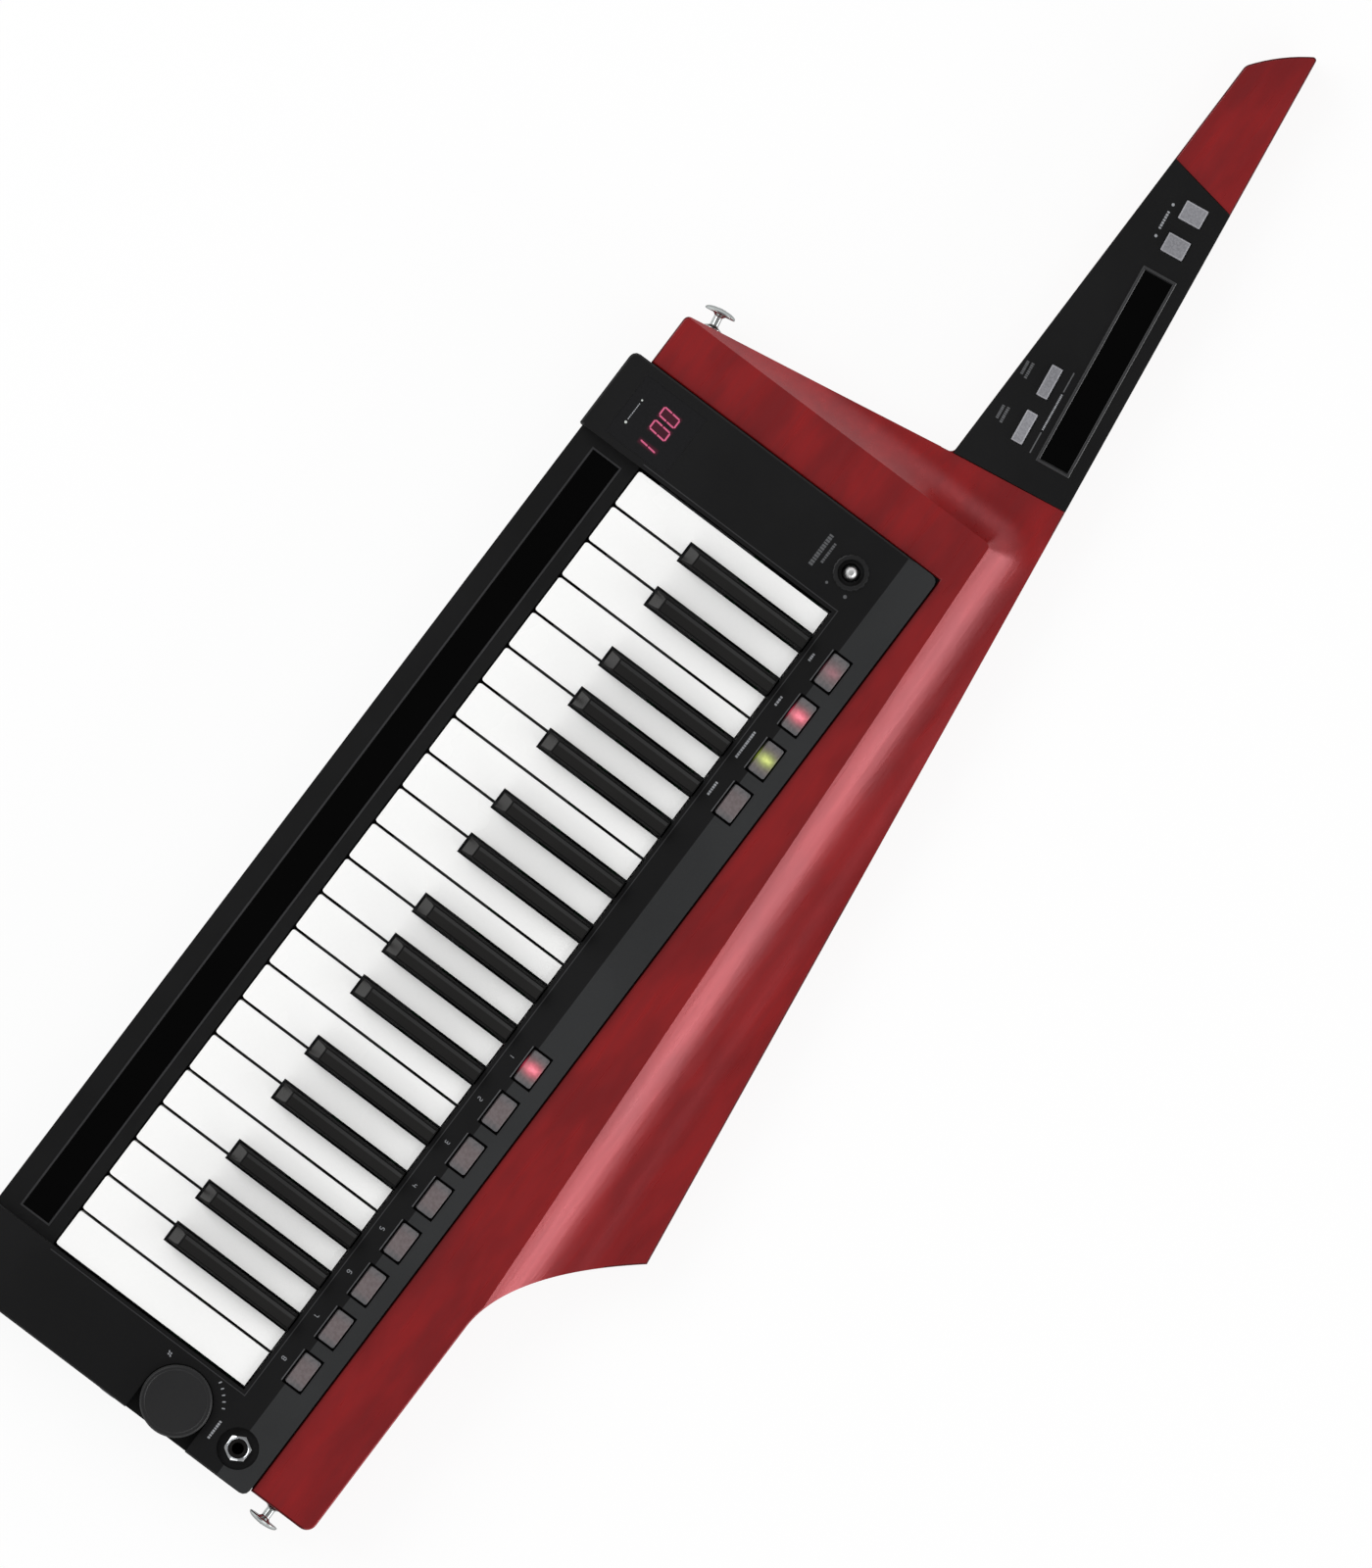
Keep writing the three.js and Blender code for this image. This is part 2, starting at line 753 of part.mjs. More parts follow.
function keyboardPanel() {
  const outer = panelForm(0, panelEdgeChamfer);
  const through = [panelBottom - cutOverrun, panelTop + cutOverrun];
  const rim = block(
    [well.left - wellRim, well.right + wellRim],
    [well.front - wellRim, well.rear],
    [panelTop - wellRimDepth, panelTop],
  );
  const knobCup = knobWell(recessWall, knobFloor - recessWall, panelTop);
  const jackCup = cylinder(jackRecessRadius + recessWall, jackFloor - recessWall, panelTop, jackCentre);
  const collarRadius = toggleBoreRadius + toggleCollarWall;
  const collarFoot = toggleBallHeight - toggleBallRadius;
  const collar = cylinder(collarRadius, collarFoot, panelTop, toggleCentre, pinSides);
  const ring = cylinder(toggleRingRadius, panelTop - shellWall, panelTop + toggleRingRise, toggleCentre);
  const bosses = joined([rim, knobCup, jackCup, collar]).intersect(outer);
  const capTool = new THREE.BoxGeometry(
    capLength + 2 * capGap,
    capWidth + 2 * capGap,
    2 * (shellWall + cutOverrun),
  );
  const ballRoom = toggleBallRadius + seatGap;
  const below = block(
    widened([housing.left, housing.right], cutOverrun),
    widened([housing.front, housing.rear], cutOverrun),
    [panelBottom - 2 * cutOverrun, panelBottom],
  );
  const tools = [
    below,
    block([well.left, well.right], [well.front, well.rear], through),
    knobWell(0, knobFloor, panelTop + cutOverrun),
    cylinder(knobStemRadius + 2 * seatGap, panelBottom, panelTop, knobCentre, pinSides),
    cylinder(jackRecessRadius, jackFloor, panelTop + cutOverrun, jackCentre),
    cylinder(jackThreadRadius + seatGap, panelBottom, panelTop, jackCentre, pinSides),
    cylinder(toggleBoreRadius, panelTop - shellWall, panelTop + cutOverrun, toggleCentre),
    cylinder(ballRoom, panelBottom, panelTop, toggleCentre, pinSides),
    block(widened(windowPlace.x, seatGap), widened(windowPlace.y, seatGap), [
      panelTop - windowRecess,
      panelTop + cutOverrun,
    ]),
    block(widened(longRibbonPlace.x, seatGap), widened(longRibbonPlace.y, seatGap), [
      channelTop - ribbonRecess,
      panelTop,
    ]),
    ...functionCaps.concat(favouriteCaps).map((x) => onSlope(capTool.clone(), x)),
  ];
  return cut(outer.subtract(panelForm(shellWall, 0)).add(bosses).add(ring), tools);
}

addPiece('keyboard_panel', keyboardPanel(), blackShell);

// A keypad: one web under the slope with a cap through each hole
function keypad(centres) {
  const webTop = -shellWall - padBelowWall;
  const span = centres.at(-1) - centres[0] + capLength + 2 * padMargin;
  const web = new THREE.BoxGeometry(span, capWidth + 2 * padMargin, padWeb);
  web.translate((centres.at(-1) - centres[0]) / 2, padMargin / 2, webTop - padWeb / 2);
  const caps = centres.map((x) => {
    const height = capRise - webTop + padWeb / 2;
    const cap = new THREE.BoxGeometry(capLength, capWidth, height);
    cap.translate(0, 0, capRise - height / 2);
    return onSlope(cap, x);
  });
  return joined([onSlope(web, centres[0]), ...caps]);
}

addPiece('function_keypad', keypad(functionCaps), smokedCap);
addPiece('favourite_keypad', keypad(favouriteCaps), smokedCap);

const displayWindow = block(windowPlace.x, windowPlace.y, [
  panelTop - windowRecess + seatGap,
  panelTop - windowRecess + seatGap + windowThickness,
]);
addPiece('display_window', displayWindow, glossBlack);

const ribbonSeat = channelTop - ribbonRecess + seatGap;
const longRibbon = block(longRibbonPlace.x, longRibbonPlace.y, [ribbonSeat, ribbonSeat + ribbonThickness]);
addPiece('long_ribbon', longRibbon, glossBlack);

// Volume knob with its stem
function volumeKnob() {
  const bottom = knobFloor + seatGap;
  const top = panelTop + knobRise;
  const stemEnd = boardTop + stemAboveBoard;
  return turned(
    [
      at(0, stemEnd),
      at(knobStemRadius, stemEnd),
      at(knobStemRadius, bottom),
      at(knobRadius, bottom),
      at(knobRadius, top - knobChamfer),
      at(knobRadius - knobChamfer, top),
      at(0, top),
    ],
    knobCentre,
  );
}
addPiece('volume_knob', volumeKnob(), knobPlastic);

// Toggle lever: a ball in the collar, a slim neck and a round tip
function arcProfile(radius, height, from, to) {
  return Array.from({ length: ballSteps + 1 }, (unused, step) => {
    const angle = from + ((to - from) * step) / ballSteps;
    return at(radius * cos(angle), height + radius * sin(angle));
  });
}

function valueToggle() {
  const tipHeight = panelTop + toggleStand - toggleTipRadius;
  const neckAngle = Math.acos(toggleNeckRadius / toggleBallRadius);
  const tipAngle = Math.acos(toggleNeckRadius / toggleTipRadius);
  const profile = [
    ...arcProfile(toggleBallRadius, toggleBallHeight, -PI / 2, neckAngle),
    ...arcProfile(toggleTipRadius, tipHeight, -tipAngle, PI / 2),
  ];
  profile[0].x = 0;
  profile.at(-1).x = 0;
  return turned(profile, toggleCentre, pinSides);
}
addPiece('value_toggle', valueToggle(), chrome);

// Headphone socket: threaded barrel and nut above, body below the panel
function headphoneJack() {
  const nutBottom = jackFloor + seatGap;
  const nutTop = nutBottom + jackNutHeight;
  const threadTop = nutTop + jackThreadRise;
  const bodyTop = jackFloor - recessWall - seatGap;
  const nut = cylinder(jackNutFlats / 2 / cos(PI / nutSides), nutBottom, nutTop, jackCentre, nutSides);
  const barrel = cylinder(jackThreadRadius, bodyTop - seatGap, threadTop, jackCentre, pinSides);
  const body = cylinder(jackBodyRadius, bodyTop - jackBodyDepth, bodyTop, jackCentre, pinSides);
  const boreEnds = [threadTop - jackBoreDepth, threadTop + cutOverrun];
  return joined([nut, barrel, body]).subtract(cylinder(jackBoreRadius, ...boreEnds, jackCentre, pinSides));
}
addPiece('headphone_jack', headphoneJack(), chrome);

// Case under the panel

const bay = {
  x: [well.left + bayFromWell, well.left + bayFromWell + bayLength],
  y: [housing.front + bayFromCaseFront, housing.front + bayFromCaseFront + bayWidth],
};
const postPlaces = [well.left + postInset, keysLength / 2, well.right - postInset].flatMap((x) => [
  at(x, chassisFront + postInset),
  at(x, chassisBack - postInset),
]);
const socketPlaces = socketNoseRadii.map((radius, index) => ({
  y: housing.front + socketFromFront + index * socketPitch,
  nose: radius,
  bore: socketBoreRadii[index],
}));

function lowerCase() {
  const outer = prism(housingOutline(0), 0, caseHeight + cutOverrun, caseChamfer);
  const hollow = prism(housingOutline(shellWall), shellWall, caseHeight + 2 * cutOverrun);
  const lid = block(
    widened([housing.left, housing.right], cutOverrun),
    widened([housing.front, housing.rear], cutOverrun),
    [caseHeight, caseHeight + 3 * cutOverrun],
  );
  const bayBox = block(widened(bay.x, bayWall), widened(bay.y, bayWall), [0, shellWall + bayDepth + bayWall]);
  const postTop = chassisFloor - seatGap;
  const posts = postPlaces.map((place) => cylinder(postRadius, 0, postTop, place, hiddenSides));
  const ledge = coverLedge - seatGap;
  const wallThrough = [housing.right - shellWall - cutOverrun, housing.right + cutOverrun];
  const holes = socketPlaces.map(({ y, nose }) => crossBar(nose + seatGap, ...wallThrough, y, socketHeight));
  return cut(cut(outer, [hollow, lid]).add(joined([bayBox, ...posts])), [
    block(bay.x, bay.y, [-cutOverrun, shellWall + bayDepth]),
    block(widened(bay.x, ledge), widened(bay.y, ledge), [-cutOverrun, shellWall]),
    ...holes,
    crossBar(powerRadius + seatGap, ...wallThrough, powerPlace, socketHeight),
  ]);
}
addPiece('lower_case', lowerCase(), blackShell);

function batteryCover() {
  const margin = coverLedge - 2 * seatGap;
  const plate = block(widened(bay.x, margin), widened(bay.y, margin), [0, coverThickness]);
  const middle = (bay.y[0] + bay.y[1]) / 2;
  const grips = Array.from({ length: coverGripCount }, (unused, index) => {
    const start = bay.x[1] - coverGripLength + 2 * index * coverGripWidth - coverGripLength / 2;
    return block([start, start + coverGripWidth], widened([middle, middle], coverGripLength / 2), [
      -cutOverrun,
      coverGripDepth,
    ]);
  });
  return cut(plate, grips);
}
addPiece('battery_cover', batteryCover(), blackShell);

// Power button through the butt wall
function powerButton() {
  const wallInside = housing.right - shellWall;
  const flangeEnd = wallInside - seatGap;
  const inner = flangeEnd - powerFlangeThickness;
  const cap = crossBar(powerRadius, inner, housing.right + powerRise, powerPlace, socketHeight);
  return cap.add(crossBar(powerRadius + powerFlange, inner, flangeEnd, powerPlace, socketHeight));
}
addPiece('power_button', powerButton(), silverCap);

// Inside: chassis, board and contact strip

// How low the underside of a pressed key reaches at a distance from the key fronts
function pressedUnderside(y) {
  return pivot.z + (keyBottom - pivot.z) * cos(keyTravel) - (pivot.y - y) * sin(keyTravel);
}

function keyChassis() {
  const floorTop = chassisFloor + chassisPlate;
  const stopTop = pressedUnderside(chassisFront) - seatGap;
  const half = pivotRib / 2;
  const side = [
    at(chassisFront, chassisFloor),
    at(chassisBack, chassisFloor),
    at(chassisBack, floorTop),
    at(pivot.y + half, floorTop),
    at(pivot.y + half, pivot.z),
    at(pivot.y - half, pivot.z),
    at(pivot.y - half, floorTop),
    at(chassisFront + stopRailWidth, floorTop),
    at(chassisFront + stopRailWidth, stopTop),
    at(chassisFront, stopTop),
  ];
  const ends = [well.left + seatGap, well.right - seatGap];
  return sideProfile(side, ...ends).add(crossBar(beadRadius, ...ends, pivot.y, pivot.z));
}
addPiece('key_chassis', keyChassis(), steel);

function mainBoard() {
  const end = housing.right - shellWall - seatGap;
  const across = widened([contactLine, contactLine], boardWidth / 2);
  const plate = block([well.left + seatGap, end], across, [boardBottom, boardTop]);
  const endAcross = [housing.front + boardEndFromFront, across[1]];
  const endPlate = block([end - boardEndLength, end], endAcross, [boardBottom, boardTop]);
  const potTop = knobFloor - recessWall - potBelowWell;
  const potX = widened([knobCentre.x, knobCentre.x], potSize / 2);
  const potY = widened([knobCentre.y, knobCentre.y], potSize / 2);
  const pot = block(potX, potY, [boardBottom, potTop]);
  const stemHole = cylinder(knobStemRadius + seatGap, boardTop, panelTop, knobCentre, pinSides);
  const bodyHalf = socketBodySize / 2;
  const sockets = socketPlaces.map(({ y, nose }) =>
    block([end - socketDepth, end], widened([y, y], bodyHalf), [socketHeight - bodyHalf, boardTop]).add(
      crossBar(nose, end - seatGap, housing.right - seatGap, y, socketHeight),
    ),
  );
  const bores = socketPlaces.map(({ y, bore }) =>
    crossBar(bore, end - socketDepth + recessWall, housing.right + cutOverrun, y, socketHeight),
  );
  return cut(joined([plate, endPlate, pot, ...sockets]), [stemHole, ...bores]);
}
addPiece('main_board', mainBoard(), board);

// Rubber strip with a dome under every key
function contactStrip() {
  const stripTop = stripBottom + stripThickness;
  const across = widened([contactLine, contactLine], stripWidth / 2);
  const web = block([well.left + seatGap, well.right - seatGap], across, [stripBottom, stripTop]);
  const domeHeight = pressedUnderside(contactLine - domeWidth / 2) - seatGap - stripTop;
  const centres = [];
  const corner = 1 / cos(PI / domeSides) / 2;
  for (let index = 0; index < whiteCount; index += 1) {
    const plan = whitePlan(index, 0, 0);
    centres.push((plan.narrowLeft + plan.narrowRight) / 2);
    const black = blackCentreAfter(index);
    if (black !== null) {
      centres.push(black);
    }
  }
  const domes = centres.map((x) => {
    const radii = [domeTopWidth * corner, domeWidth * corner];
    const dome = new THREE.CylinderGeometry(...radii, domeHeight + seatGap, domeSides);
    dome.rotateY(PI / domeSides);
    dome.rotateX(PI / 2);
    dome.translate(x, contactLine, stripTop + (domeHeight - seatGap) / 2);
    return solid(dome);
  });
  return joined([web, ...domes]);
}
addPiece('contact_strip', contactStrip(), rubber);

// Wood body

function woodOutline() {
  const scoopEnd = at(wingTip.x + scoopRun, woodRear);
  const control = at(wingTip.x + (wingTip.y - woodRear) / tan(scoopStart), woodRear);
  const scoop = new THREE.QuadraticBezierCurve(scoopEnd, control, wingTip).getPoints(scoopSteps);
  const inner = at(housing.left - seatGap, housing.rear + seatGap);
  const lowerTip = at(headEnd, neckLower);
  const upperTip = at(headEnd - headSlant, upperEdge(headEnd - headSlant));
  const across = upperTip.clone().sub(lowerTip).normalize();
  const bow = at(-across.y, across.x).multiplyScalar(2 * headEndBow);
  const bowed = lowerTip.clone().lerp(upperTip, 1 / 2).add(bow);
  const head = new THREE.QuadraticBezierCurve(upperTip, bowed, lowerTip).getPoints(headEndSteps);
  return roundedOutline([
    [lowerTip, woodCornerRadius],
    [neckRoot, woodCornerRadius],
    [woodCorner, woodCornerRadius],
    [at(inner.x, woodCorner.y), 0],
    [inner, 0],
    [at(woodButt, inner.y), 0],
    [at(woodButt, woodRear), buttCornerRadius],
    ...scoop.concat(head.slice(0, -1)).map((point) => [point, 0]),
  ]);
}

// The crisp edge of the plateau, as points with the direction and width of the cove beside them
function ridgePath() {
  const left = woodCorner.x + ridgeInset;
  const cornerAngle = PI / 2 + ridgeRise;
  const setback = ridgeCornerRadius / tan(cornerAngle / 2);
  const centre = at(left + ridgeCornerRadius, housing.rear + ridgeBehindHousing - setback);
  const path = [{ point: at(left, woodCorner.y - cutOverrun), angle: PI, width: neckCoveWidth }];
  for (let step = 0; step <= ridgeCornerSteps; step += 1) {
    const share = step / ridgeCornerSteps;
    const angle = PI + (cornerAngle - PI) * share;
    const point = at(centre.x + ridgeCornerRadius * cos(angle), centre.y + ridgeCornerRadius * sin(angle));
    path.push({ point, angle, width: neckCoveWidth + (wingCoveWidth - neckCoveWidth) * share });
  }
  const last = path.at(-1).point;
  const end = at(woodButt, last.y + (woodButt - last.x) * tan(ridgeRise));
  path.push({ point: end, angle: cornerAngle, width: wingCoveWidth });
  return path;
}

// A block whose top is the cove: it falls from the ridge to the wing as a parabola
function coveBlock() {
  const path = ridgePath();
  const rows = coveSteps + 1;
  const positions = [];
  for (const level of ['top', 'bottom']) {
    for (const { point, angle, width } of path) {
      for (let step = 0; step < rows; step += 1) {
        const share = step / coveSteps;
        const height = wingHeight + (plateauHeight - wingHeight) * (1 - share) ** 2;
        const x = point.x + width * share * cos(angle);
        const y = point.y + width * share * sin(angle);
        positions.push(x, y, level === 'top' ? height : 0);
      }
    }
  }
  const under = path.length * rows;
  const indices = [];
  const quad = (a, b, c, d) => indices.push(a, b, c, a, c, d);
  for (let row = 0; row < path.length - 1; row += 1) {
    for (let step = 0; step < coveSteps; step += 1) {
      const a = row * rows + step;
      quad(a, a + rows, a + rows + 1, a + 1);
      quad(under + a, under + a + 1, under + a + rows + 1, under + a + rows);
    }
    const inner = row * rows;
    const outer = inner + coveSteps;
    quad(inner, under + inner, under + inner + rows, inner + rows);
    quad(outer, outer + rows, under + outer + rows, under + outer);
  }
  const last = (path.length - 1) * rows;
  for (let step = 0; step < coveSteps; step += 1) {
    quad(step, step + 1, under + step + 1, under + step);
    quad(last + step, under + last + step, under + last + step + 1, last + step + 1);
  }
  const geometry = new THREE.BufferGeometry();
  geometry.setAttribute('position', new THREE.Float32BufferAttribute(positions, 3));
  geometry.setIndex(indices);
  return solid(geometry);
}

function plateauBlock() {
  const path = ridgePath().map(({ point }) => point);
  const far = woodButt + cutOverrun;
  return prism([...path, at(far, path.at(-1).y), at(far, path[0].y)], 0, plateauHeight + cutOverrun);
}

// The end lines of the neck panel, leaning towards each other, as its four corners drawn in by an inset
function neckPanelOutline(inset, endInset) {
  const low = neckLower + inset;
  const lean = (y) => (y - neckLower) * tan(neckPanelLean);
  const left = (y) => neckPanelHead + lean(y) + endInset;
  const right = (y) => neckRoot.x - lean(y) - endInset;
  // Where an end line meets the upper edge: each leans by its own tangent
  const rise = tan(neckRise);
  const slope = tan(neckPanelLean);
  const high = (edge, side) => {
    const start = edge(neckLower);
    const height = upperEdge(start) - inset / cos(neckRise) - neckLower;
    const y = neckLower + height / (1 - side * rise * slope);
    return at(edge(y), y);
  };
  return [at(left(low), low), at(right(low), low), high(right, -1), high(left, 1)];
}

// A three-sided bar along one lower edge of the neck, which takes its corner off
function neckChamfer(from, to) {
  const length = from.distanceTo(to);
  const bar = new THREE.ExtrudeGeometry(
    new THREE.Shape([
      at(-cutOverrun, -cutOverrun),
      at(neckBackChamfer + cutOverrun, -cutOverrun),
      at(-cutOverrun, neckBackChamfer + cutOverrun),
    ]),
    { depth: length, bevelEnabled: false },
  );
  bar.applyMatrix4(
    new THREE.Matrix4().makeBasis(
      new THREE.Vector3(0, 1, 0),
      new THREE.Vector3(0, 0, 1),
      new THREE.Vector3(1, 0, 0),
    ),
  );
  bar.rotateZ(to.clone().sub(from).angle());
  bar.translate(from.x, from.y, 0);
  return solid(bar);
}

const neckPinHeight = woodCorner.y + neckPinFromCorner;
const neckPin = { place: at(bodyLeftEdge(neckPinHeight), neckPinHeight), angle: PI + bodyEdgeLean };
const buttPin = { place: at(woodButt, housing.rear + buttPinBehindHousing), angle: 0 };

// A turned form that points out of the wood's edge at a strap pin, from radii and distances off the edge
function outwards(profile, { place, angle }) {
  const geometry = new THREE.LatheGeometry(profile, pinSides);
  geometry.rotateZ(angle - PI / 2);
  geometry.translate(place.x, place.y, pinHeight);
  return solid(geometry);
}

// Flared foot, stem and mushroom head, with the screw behind them
function strapPin(pin) {
  const foot = seatGap + pinFootThickness;
  const stemEnd = foot + pinStemLength;
  const rim = stemEnd + pinUnderside;
  const brim = rim + pinRimThickness;
  const dome = Array.from({ length: pinDomeSteps }, (unused, step) => {
    const angle = ((PI / 2) * step) / pinDomeSteps;
    return at(pinHeadRadius * cos(angle), brim + pinDomeHeight * sin(angle));
  });
  const profile = [
    at(0, -pinScrewLength),
    at(pinScrewRadius, -pinScrewLength),
    at(pinScrewRadius, seatGap),
    at(pinFootRadius, seatGap),
    at(pinStemRadius, foot),
    at(pinStemRadius, stemEnd),
    at(pinHeadRadius, rim),
    ...dome,
    at(0, brim + pinDomeHeight),
  ];
  return outwards(profile, pin);
}

function screwHole(pin) {
  const radius = pinScrewRadius + seatGap;
  const end = -pinScrewLength - seatGap;
  return outwards([at(0, end), at(radius, end), at(radius, cutOverrun), at(0, cutOverrun)], pin);
}

function woodBody() {
  const outline = woodOutline();
  const slab = prism(outline, 0, wingHeight, woodRound, roundSteps);
  const full = prism(outline, 0, plateauHeight, woodRound, roundSteps);
  const raised = plateauBlock().add(coveBlock()).intersect(full);
  const heel = neckRoot.x - heelLength;
  const nose = headEnd - headSlant - cutOverrun;
  return cut(slab.add(raised), [
    prism(neckPanelOutline(-cutOverrun, -seatGap), neckSeat, plateauHeight + cutOverrun),
    neckChamfer(at(nose, neckLower), at(heel, neckLower)),
    neckChamfer(at(heel, upperEdge(heel)), at(nose, upperEdge(nose))),
    screwHole(neckPin),
    screwHole(buttPin),
  ]);
}
addPiece('wood_body', woodBody(), stainedWood);
addPiece('neck_strap_pin', strapPin(neckPin), chrome);
addPiece('butt_strap_pin', strapPin(buttPin), chrome);

// Neck panel, its ribbon and its buttons

function placeOnNeck(x, belowEdge) {
  return at(x, upperEdge(x) - belowEdge);
}

const shortRibbonLength = neckPanelLength - shortRibbonFromHead - shortRibbonFromRoot;
const shortRibbonCentre = placeOnNeck(
  neckPanelHead + shortRibbonFromHead + shortRibbonLength / 2,
  shortRibbonBelowEdge,
);
const octaveCapCentres = octaveCapsFromHead.map((distance) =>
  placeOnNeck(neckPanelHead + distance, octaveCapsBelowEdge),
);
const modeCapCentres = modeCapsFromRoot.map((distance) =>
  placeOnNeck(neckRoot.x - distance, modeCapsBelowEdge),
);

function neckPanel() {
  const bottom = neckPanelTop - neckPanelDepth;
  const shell = cut(prism(neckPanelOutline(0, 0), bottom, neckPanelTop), [
    prism(neckPanelOutline(neckPanelWall, neckPanelWall), bottom - cutOverrun, neckPanelTop - neckPanelWall),
  ]);
  const lip = prism(
    alongNeck(shortRibbonCentre, shortRibbonLength + 2 * ribbonLip, shortRibbonWidth + 2 * ribbonLip),
    neckPanelTop - seatGap,
    neckPanelTop + ribbonLipRise,
  );
  const recess = prism(
    alongNeck(shortRibbonCentre, shortRibbonLength + 2 * seatGap, shortRibbonWidth + 2 * seatGap),
    neckPanelTop - shortRibbonRecess,
    neckPanelTop + cutOverrun,
  );
  const hole = (centre, length, width) =>
    prism(
      alongNeck(centre, length + 2 * neckCapGap, width + 2 * neckCapGap),
      bottom,
      neckPanelTop + cutOverrun,
    );
  return cut(shell.add(lip), [
    recess,
    ...octaveCapCentres.map((centre) => hole(centre, octaveCapLength, octaveCapWidth)),
    ...modeCapCentres.map((centre) => hole(centre, modeCapLength, modeCapWidth)),
  ]);
}
addPiece('neck_panel', neckPanel(), blackShell);

const shortRibbonSeat = neckPanelTop - shortRibbonRecess + seatGap;
const shortRibbon = prism(
  alongNeck(shortRibbonCentre, shortRibbonLength, shortRibbonWidth),
  shortRibbonSeat,
  shortRibbonSeat + ribbonThickness,
);
addPiece('short_ribbon', shortRibbon, glossBlack);

// A cap through the neck panel, with a flange just under the panel
function neckCap(centre, length, width) {
  const flangeTop = neckPanelTop - neckPanelWall - seatGap;
  const flangeBottom = flangeTop - neckCapFlangeThickness;
  const cap = prism(alongNeck(centre, length, width), flangeBottom, neckPanelTop + neckCapRise);
  const flange = prism(
    alongNeck(centre, length + 2 * neckCapFlange, width + 2 * neckCapFlange),
    flangeBottom,
    flangeTop,
  );
  return cap.add(flange);
}

['octave_down_button', 'octave_up_button'].forEach((name, index) => {
  addPiece(name, neckCap(octaveCapCentres[index], octaveCapLength, octaveCapWidth), silverCap);
});
['ribbon_mode_button', 'ribbon_select_button'].forEach((name, index) => {
  addPiece(name, neckCap(modeCapCentres[index], modeCapLength, modeCapWidth), silverCap);
});

// The model stands on the middle of its footprint
const extent = new THREE.Box3().setFromObject(keytar);
const middle = extent.getCenter(new THREE.Vector3());
keytar.position.set(-middle.x, -middle.y, -extent.min.z);
keytar.updateMatrixWorld(true);

export default keytar;
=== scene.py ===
import json
import math
from contextlib import contextmanager

import bmesh
import bpy
from mathutils import Matrix, Vector

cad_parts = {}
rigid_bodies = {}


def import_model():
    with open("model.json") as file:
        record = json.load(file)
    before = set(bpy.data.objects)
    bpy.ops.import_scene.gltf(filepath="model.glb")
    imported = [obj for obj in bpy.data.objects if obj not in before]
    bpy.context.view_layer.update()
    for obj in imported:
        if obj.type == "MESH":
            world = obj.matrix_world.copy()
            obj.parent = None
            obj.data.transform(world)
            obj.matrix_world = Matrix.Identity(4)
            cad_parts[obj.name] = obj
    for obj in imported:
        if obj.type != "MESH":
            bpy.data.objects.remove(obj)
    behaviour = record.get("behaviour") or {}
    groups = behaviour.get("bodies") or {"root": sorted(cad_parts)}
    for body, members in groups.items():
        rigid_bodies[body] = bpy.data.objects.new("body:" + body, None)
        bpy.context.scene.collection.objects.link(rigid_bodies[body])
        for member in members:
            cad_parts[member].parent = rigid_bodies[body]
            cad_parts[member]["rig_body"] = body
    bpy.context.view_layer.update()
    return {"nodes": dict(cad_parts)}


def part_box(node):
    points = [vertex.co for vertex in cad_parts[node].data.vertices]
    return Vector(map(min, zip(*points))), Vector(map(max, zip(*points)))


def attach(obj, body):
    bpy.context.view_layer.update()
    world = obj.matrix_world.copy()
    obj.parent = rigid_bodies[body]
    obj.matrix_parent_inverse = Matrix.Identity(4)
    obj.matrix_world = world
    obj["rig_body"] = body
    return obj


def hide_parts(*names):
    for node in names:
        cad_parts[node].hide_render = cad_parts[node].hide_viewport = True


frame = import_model()
scene = bpy.context.scene

# The key frame: millimetres from the neck-side end of the keys, the front of the white keys and the back
MM = 0.001
FIRST_KEY_LOW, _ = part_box("white_key_c1")
KEY_GAP = 1.0
ORIGIN = Vector((FIRST_KEY_LOW.x - KEY_GAP / 2 * MM, FIRST_KEY_LOW.y, 0))


def place(x, y, z=0.0):
    return ORIGIN + Vector((x, y, z)) * MM


def in_key_frame(point):
    return (Vector(point) - ORIGIN) / MM


def corners_of(node):
    return [in_key_frame(corner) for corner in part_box(node)]


def middle_of(node):
    low, high = corners_of(node)
    return (low + high) / 2


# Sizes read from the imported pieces, and those that go with them
(HOUSING_LEFT, HOUSING_FRONT, _), (HOUSING_RIGHT, HOUSING_REAR, RING_TOP) = corners_of("keyboard_panel")
TOGGLE_RING_RISE = 0.5
PANEL_TOP = RING_TOP - TOGGLE_RING_RISE
CHANNEL_TOP = PANEL_TOP - 13
REAR_SLOPE_DROP, REAR_SLOPE_RUN = 3.5, 16.75
BEVEL_ANGLE = math.atan2(REAR_SLOPE_DROP, REAR_SLOPE_RUN)
FOLD_LINE = HOUSING_REAR - REAR_SLOPE_RUN
WELL_REAR = 110.1
PLATEAU = corners_of("wood_body")[1].z
SEAT_GAP = 0.3
LIP_TOP = corners_of("neck_panel")[1].z
NECK_TOP = LIP_TOP - 0.6
WING = NECK_TOP - 1
KEYS_END = corners_of("white_key_c4")[1].x + KEY_GAP / 2
WHITE_TOP = corners_of("white_key_c1")[1].z
BLACK_TOP = corners_of("black_key_cs1")[1].z
SOCKET_LEVEL = middle_of("power_button").z


# Materials


